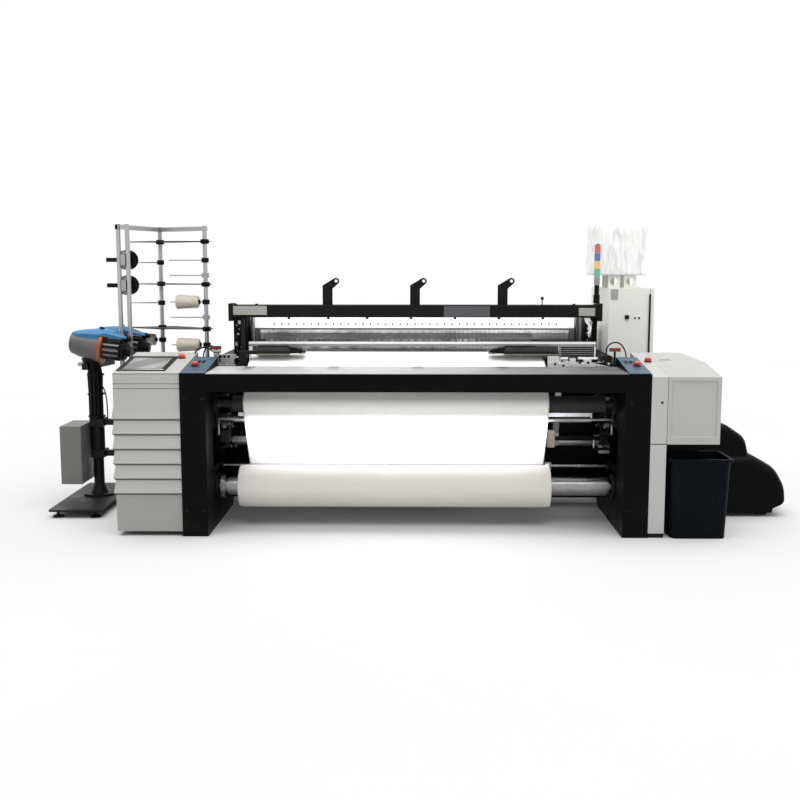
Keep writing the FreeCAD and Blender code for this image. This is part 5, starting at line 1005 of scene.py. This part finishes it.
shape = Shape()
for fold in range(6):
    level = 230 + 82 * fold + 13.5
    shape.tube([(-1270.5, 3.2, level), (-1632, 3.2, level), (-1638, 5, level), (-1639.8, 11, level),
                (-1639.8, 519, level)], 4.4, 12)
shape.piece("pleat_beads", "cabinet_grey")
shape = Shape()
for level in (814, 840):
    shape.box(-1632, -1271, 9.7, 11.4, level, level + 2)
shape.box(-1632, -1271, 10.2, 12, 893, 895)
shape.box(1356.4, 1358.2, -0.5, 1.5, 518, 883)
shape.box(1270.5, 1357, -0.4, 1, 517, 520)
shape.spin("Y", (1327, 0, 745), [(-2.2, 6.5), (1, 6.5)], 20)
slab(shape, 1395, 1460, 394, 402, 883, 884)
shape.piece("cover_seams", "cabinet_grey", "dark_joint")

shape = Shape()
for x in (1446, 1473):
    shape.spin("Y", (x, 1330, 1133), [(-4, 5), (-3, 6.5), (0.5, 6.5)], 20)
shape.piece("door_lamps", "clamp_black", body="cabinet_door")
Shape().box(1284, 1332, 1328.6, 1330.2, 1252, 1322).piece(
    "door_plate", "cabinet_white", "plate_pale", body="cabinet_door", bevel=0.5)

shape = Shape()
tilt = Vector((0, -0.1391, 0.9903))
for x, y, height in ((-1333, 367, 898), (-1218, 172, 899), (1225, 186, 899), (1322, 355, 883)):
    shape.spin(tilt, (x, y, slope_height(height, y)), [(-0.5, 24), (1.6, 24), (2.4, 22.5), (2.4, 13), (-0.5, 13)], 32)
shape.piece("button_collars", "clamp_black")
shape = Shape()
for first_key in (-1250, 1172):
    for column in range(3):
        for row in range(2):
            x, y = first_key + 26 * column, 244 + 30 * row
            slab(shape, x, x + 18, y, y + 20, 898.5, 901.5)
shape.piece("panel_keys", "panel_blue", "clamp_black", bevel=1)

shape = Shape()
for x in (1452, 1632):
    shape.prism("X", [(-14, 110), (-21.5, 330), (-22.9, 330), (-15.4, 110)], x - 2, x + 2)
for level in (110, 330):
    y = -10.2 - 15 * level / 440
    shape.prism("X", [(y, level - 2), (y, level + 2), (y - 1.6, level + 2), (y - 1.6, level - 2)], 1450, 1634)
shape.piece("bin_press", "bin_plastic", bevel=0.6)


# ---- fittings inside and on top

shape = Shape()
for side in (-1, 1):
    for (y, z), radius in ((TAKE_UP, 62), (CLOTH_BEAM, 74), (PRESS, 30), (BAR, 24)):
        ends = sorted((side * 1116, side * 1131))
        shape.spin("X", (0, y, z), [(ends[0], radius * 0.94), (ends[0] + 2, radius), (ends[1] - 2, radius),
                                    (ends[1], radius * 0.94)], 40)
        for step in range(4):
            turn = math.pi / 4 + math.pi / 2 * step
            shape.screw((side * 1116, y + radius * 0.78 * math.cos(turn), z + radius * 0.78 * math.sin(turn)),
                        (-side, 0, 0), radius * 0.1, 3)
shape.piece("bearing_housings", "frame_black", "steel_dark", bevel=0.6)

draw = random.Random(29)
bright, dull = Shape(), Shape()
for side in (-1, 1):
    for step in range(34):
        y, z = draw.uniform(392, 610), draw.uniform(390, 820)
        reach, size = draw.uniform(14, 62), draw.uniform(5, 15)
        here = bright if step % 5 == 0 else dull
        ends = sorted((side * (INNER_FACE - reach), side * INNER_FACE))
        if step % 2:
            here.spin("X", (0, y, z), [(ends[0], size * 0.8), (ends[0] + 2, size), (ends[1], size)], 12)
            (bright if step % 3 else dull).screw((side * (INNER_FACE - reach), y, z), (-side, 0, 0), size * 0.5, 3)
        else:
            here.box(*ends, y, y + size * 3, z, z + size * draw.uniform(1.2, 5))
    for step in range(3):
        y, z = 420 + 66 * step, 420 + 90 * step
        dull.tube([(side * 1130, y, z), (side * 1096, y, z + 8), (side * 1078, y + 8, z + 40),
                   (side * 1080, y + 14, z + 120), (side * 1100, y + 8, z + 150), (side * 1130, y, z + 156)], 5, 10)
bright.piece("side_details", "frame_black", "fitting_silver", bevel=0.8)
dull.piece("side_details_dark", "frame_black", "steel_dark", bevel=0.8)

shape = Shape()
for x, y, low, high in ((-1118, 300, 515, 601), (1118, 300, 520, 583), (1018, 300, 445, 491)):
    shape.rod("Z", (x, y, 0), low, high, 6.5, 1, 1.5, 16)
shape.rod("X", (0, *BAR), 757, 795, 22, 2, 2, 24)
shape.piece("inner_rods", "chrome_roller", "fitting_silver")
shape = Shape()
for x, y, level in ((-1118, 300, 500), (1118, 300, 505)):
    shape.box(x, x * 1.011, y - 12, y + 12, level, level + 16)
shape.box(1010, INNER_FACE, 292, 308, 432, 446)
shape.box(800, INNER_FACE, 522, 540, 450, 474)
shape.piece("inner_brackets", "frame_black", bevel=1)

draw = random.Random(12)
silver, dark = Shape(), Shape()
for step in range(15):
    x = 772 + 23.5 * step
    tall = draw.choice((905, 912, 922, 930))
    (silver if step % 3 else dark).box(x, x + 11, 406 + 4 * (step % 2), 432, 897, tall)
    (dark if step % 2 else silver).spin("Y", (x + 6, 0, tall - 6), [(385, 5), (386, 7), (408, 7)], 16)
    silver.screw((x + 17, 397, 921), (0, 0, 1), 4.5, 3)
    silver.screw((x + 17, 447, 921), (0, 0, 1), 4.5, 3)
dark.box(905, 1050, 430, 442, 905, 946)
silver.box(776, 1048, 443.5, 449, 900, 941)
for step in range(13):
    dark.spin("Y", (790 + 20 * step, 0, 913 + 17 * (step % 2)), [(441.5, 4), (442.2, 5.5), (444, 5.5)], 12)
silver.rod("X", (0, 424, 944), 836, 1049, 6.5, 1, 1.5, 20)
dark.rod("X", (0, 424, 944), 880, 934, 14, 4, 2, 24)
for x, y in ((-1150, 440), (-1118, 444), (-1086, 440), (-1060, 446), (-1150, 524), (-1098, 528), (-1064, 530)):
    silver.screw((x, y, 905), (0, 0, 1), 5, 4)
for x in (-1128, -1104, -1080):
    dark.spin("Y", (x, 0, 951), [(447, 6), (448, 8), (456, 8)], 16)
    silver.spin("Z", (x, 514, 0), [(904, 9), (926, 9), (928, 7)], 20)
dark.spin("Z", (-1046, 500, 0), [(904, 12), (934, 12), (938, 9)], 24)
silver.piece("edge_fittings", "steel_dark", "edge_silver", bevel=0.6)
dark.piece("edge_fittings_dark", "steel_dark", "clamp_black", bevel=0.6)

# A white bar lit by the violet web lamp: a painted highlight for the bright strip right of the cloth.
Shape().box(-1038, 1038, 496, 500, 568, 618).piece("highlight_bar", "aluminium_bright", "slat_white", bevel=1)
shape = Shape()
for side in (-1, 1):
    shape.box(side * 978, side * INNER_FACE, 499, 506, 576, 610)
    shape.box(side * 1122, side * INNER_FACE, 484, 522, 558, 628)
shape.piece("highlight_bar_brackets", "frame_black", bevel=1)

Shape().box(777, 824, 496, 524, 412, 516).piece("cream_block", "frame_black", "fitting_cream", bevel=3)

shape = Shape()
for low, high in ((-928, -729), (518, 831)):
    shape.box(low + 2, high - 2, 468.2, 476, 959.5, 965.5)
shape.piece("temple_lips", "steel_dark", "fitting_cream", bevel=0.8)
shape = Shape()
for side, root, tip in ((1, -735, -648), (-1, 524, 437)):
    shape.prism("Y", [(root, 1007.5), (root + side * 42, 1001), (tip, 985), (tip + side * 4, 973), (root, 966)],
                477, 553)
    shape.spin("X", (0, 515, 975), [(tip - side * 3, 9), (tip + side * 5, 9), (tip + side * 8, 6)], 16)
    shape.box(root - side * 180, root, 486, 544, 1006, 1013)
shape.piece("temple_tips", "steel_dark", "temple_black", bevel=2)
shape = Shape()
for side, tip in ((1, -648), (-1, 437)):
    shape.tube([(tip - side * 30, 505, 966), (tip + side * 2, 504, 966), (tip + side * 12, 508, 972),
                (tip + side * 12, 520, 978), (tip + side * 2, 526, 986)], 3.2, 8)
shape.piece("temple_hooks", "steel_dark", "fitting_silver")

shape = Shape()
shape.rod("X", (0, 470, 979), -1174, -1128, 9.5, 2, 2.5, 24)
shape.box(-1168, -1148, 460, 480, 905, 971)
shape.spin("X", (0, 850, 869), [(-2088, 10), (-2086, 12), (-2019, 12)], 24)
shape.piece("regulator", "steel_dark", "fitting_silver", bevel=1)
Shape().tube([(-1173, 470, 979), (-1190, 471, 992), (-1212, 474, 1000), (-1238, 479, 1001), (-1262, 484, 992),
              (-1278, 487, 976), (-1286, 488, 955)], 4.5, 12).piece("bent_pipe", "steel_dark", "cable_black")

draw = random.Random(41)
bright, dull = Shape(), Shape()
for low, high in ((-1088, -1022), (1022, 1064)):
    for step in range(11):
        x, z = draw.uniform(low, high - 16), 905 + 22 * step
        (bright if step % 3 == 1 else dull).box(x, x + draw.uniform(8, 18), 715.5 - draw.uniform(5, 16), 715.5,
                                                z, z + draw.uniform(8, 26))
        bright.screw((draw.uniform(low + 6, high - 6), 715, z + 14), (0, -1, 0), 4, 3)
bright.piece("post_details", "frame_black", "fitting_silver", bevel=0.6)
dull.piece("post_details_dark", "frame_black", "steel_dark", bevel=0.6)

# A black plate across the inside below the healds: painted shade in front of the warp package.
Shape().box(-1129.6, 1129.6, 938, 944, 300, 789).piece("shade_plate", "frame_black", bevel=1)

shape = Shape()
shape.spin("Z", (-1990, 822, 0), [(838, 36), (860, 44), (890, 58), (908, 66)], 28)
shape.spin("Z", (-1952, 1095, 0), [(872, 26), (890, 40), (908, 50)], 28)
for x, y, radius in ((-20, -37, 8), (3, -42, 9), (24, -35, 8), (38, -18, 9), (-38, -14, 7)):
    shape.tube([(-1981 + x, 850 + y, 496), (-1981 + x, 850 + y, 700), (-1981 + x * 1.1, 850 + y, 800),
                (-1981 + x * 0.8, 846 + y, 872)], radius, 10)
for level in (540, 680, 800):
    shape.spin("Z", (-1981, 848, 0), [(level, 46), (level, 52.5), (level + 9, 52.5), (level + 9, 46)], 32)
dip = Vector((DIP_COS, 0, -DIP_SIN))
lift = Vector((DIP_SIN, 0, DIP_COS))
for x, y in FEEDERS:
    root = Vector((x, y, FEEDER_Z))
    shape.spin(dip, root + dip * 118 + lift * 76, [(0, 17), (4, 19), (34, 19), (38, 15), (52, 15), (54, 12)], 20)
    shape.spin(dip, root + dip * 128, [(0, 60), (6, 63), (12, 63), (16, 58)], 36)
    shape.spin(lift, root - dip * 14 + lift * 118, [(0, 14), (3, 16), (9, 16), (12, 12)], 20)
    for turn in (-0.9, 0.9, 2.5, -2.5):
        away = Vector((0, math.sin(turn), 0)) + lift * math.cos(turn)
        shape.tube([root + dip * 18 + away * 71, root + dip * 138 + away * 68], 4, 8)
    shape.spin(dip, root - dip * 186, [(-8, 30), (-6, 38), (2, 40)], 28)
shape.piece("feeder_fittings", "clamp_black", bevel=0.8)

shape = Shape()
shape.box(-1854, -1826, 935, 965, 1697, 1727)
for x, y in ((-1840, 950), (-1784, 950), (-1702, 1450), (-1363, 1250)):
    shape.spin("Z", (x, y, 0), [(1725.6, 13), (1728.5, 12), (1728.5, 0)], 20)
    shape.spin("Z", (x, y, 0), [(40, 24), (66, 24), (68, 22), (68, 14.3)], 20)
for x, y in ((-1702, 1450), (-1363, 1250)):
    for level in (1062, 1352, 1628):
        shape.spin("Z", (x, y, 0), [(level - 13, 14.3), (level - 13, 24), (level - 0.5, 30), (level - 0.5, 14.3)], 24)
        shape.spin("Z", (x, y, 0), [(level + 5.5, 14.3), (level + 5.5, 30), (level + 17, 24), (level + 17, 14.3)], 24)
shape.piece("creel_caps", "clamp_black")


# ---- hoses and cable

def line(name, points, radius):
    """A free hose or cable on one smooth spline, from the object and back into it."""
    data = bpy.data.curves.new(name, "CURVE")
    data.dimensions = "3D"
    data.bevel_depth = radius * MM
    data.bevel_resolution = 4
    data.use_fill_caps = True
    spline = data.splines.new("NURBS")
    spline.points.add(len(points) - 1)
    for place, point in zip(spline.points, points):
        place.co = (*at(*point), 1)
    spline.order_u = 3
    spline.use_endpoint_u = True
    spline.resolution_u = 8
    data.materials.append(finishes["cable_black"])
    thing = stand(name, data)
    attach(thing, "frame")
    return thing


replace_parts(line("feeder_cable", [(-1990, 905, 842), (-1990, 905, 790), (-1966, 900, 744), (-1936, 886, 696),
                                  (-1922, 864, 644), (-1915, 850, 590), (-1915, 850, 526)], 4),
            "cables")
line("nozzle_hose", [(-1150, 548, 905), (-1150, 548, 950), (-1168, 545, 992), (-1204, 548, 1012), (-1236, 556, 990),
                     (-1250, 560, 950), (-1250, 560, 895)], 4)
line("edge_hose", [(1100, 440, 960), (1100, 440, 996), (1116, 436, 1026), (1150, 430, 1040), (1186, 432, 1026),
                   (1212, 440, 984), (1218, 444, 940), (1218, 444, 895)], 4)


# ---- floor and light

floor_finish = Finish("studio_floor", rough=0.9, specular=0.1)
floor_finish.colour(floor_finish.ramp(floor_finish.noise(0.4, 2),
                                                  [(0.3, (0.525,) * 3), (0.7, (0.535,) * 3)]))
floor_mesh = bpy.data.meshes.new("floor")
floor_bm = bmesh.new()
bmesh.ops.create_circle(floor_bm, cap_ends=True, segments=64, radius=40)
floor_bm.to_mesh(floor_mesh)
floor_bm.free()
floor_mesh.materials.append(floor_finish.material)
floor = stand("floor", floor_mesh)
floor.location.z = -0.0005

world = bpy.data.worlds.new("studio")
world.use_nodes = True
background = world.node_tree.nodes["Background"]
background.inputs["Color"].default_value = (1, 1, 1, 1)
background.inputs["Strength"].default_value = 1.0
bpy.context.scene.world = world
bpy.context.scene.view_settings.view_transform = "Standard"


def lamp(name, place, target, width, height, power, colour=(1, 1, 1), spread=180):
    data = bpy.data.lights.new(name, "AREA")
    data.spread = math.radians(spread)
    data.color = colour
    data.shape = "RECTANGLE"
    data.size, data.size_y = width, height
    data.energy = power
    thing = stand(name, data)
    thing.location = at(*place)
    thing.rotation_euler = (at(*target) - thing.location).to_track_quat("-Z", "Y").to_euler()


sun = bpy.data.lights.new("sun", "SUN")
sun.energy = 2.8
sun.angle = 1.2
stand("sun", sun).rotation_euler = (math.radians(8), 0, 0)
lamp("web_light", (-90, 150, 520), (-90, 380, 512), 1.75, 0.06, 8, (0.93, 0.89, 1.0), 100)
lamp("slat_light", (-5, 722, 1142), (-5, 846, 1098), 2.0, 0.03, 1.6)
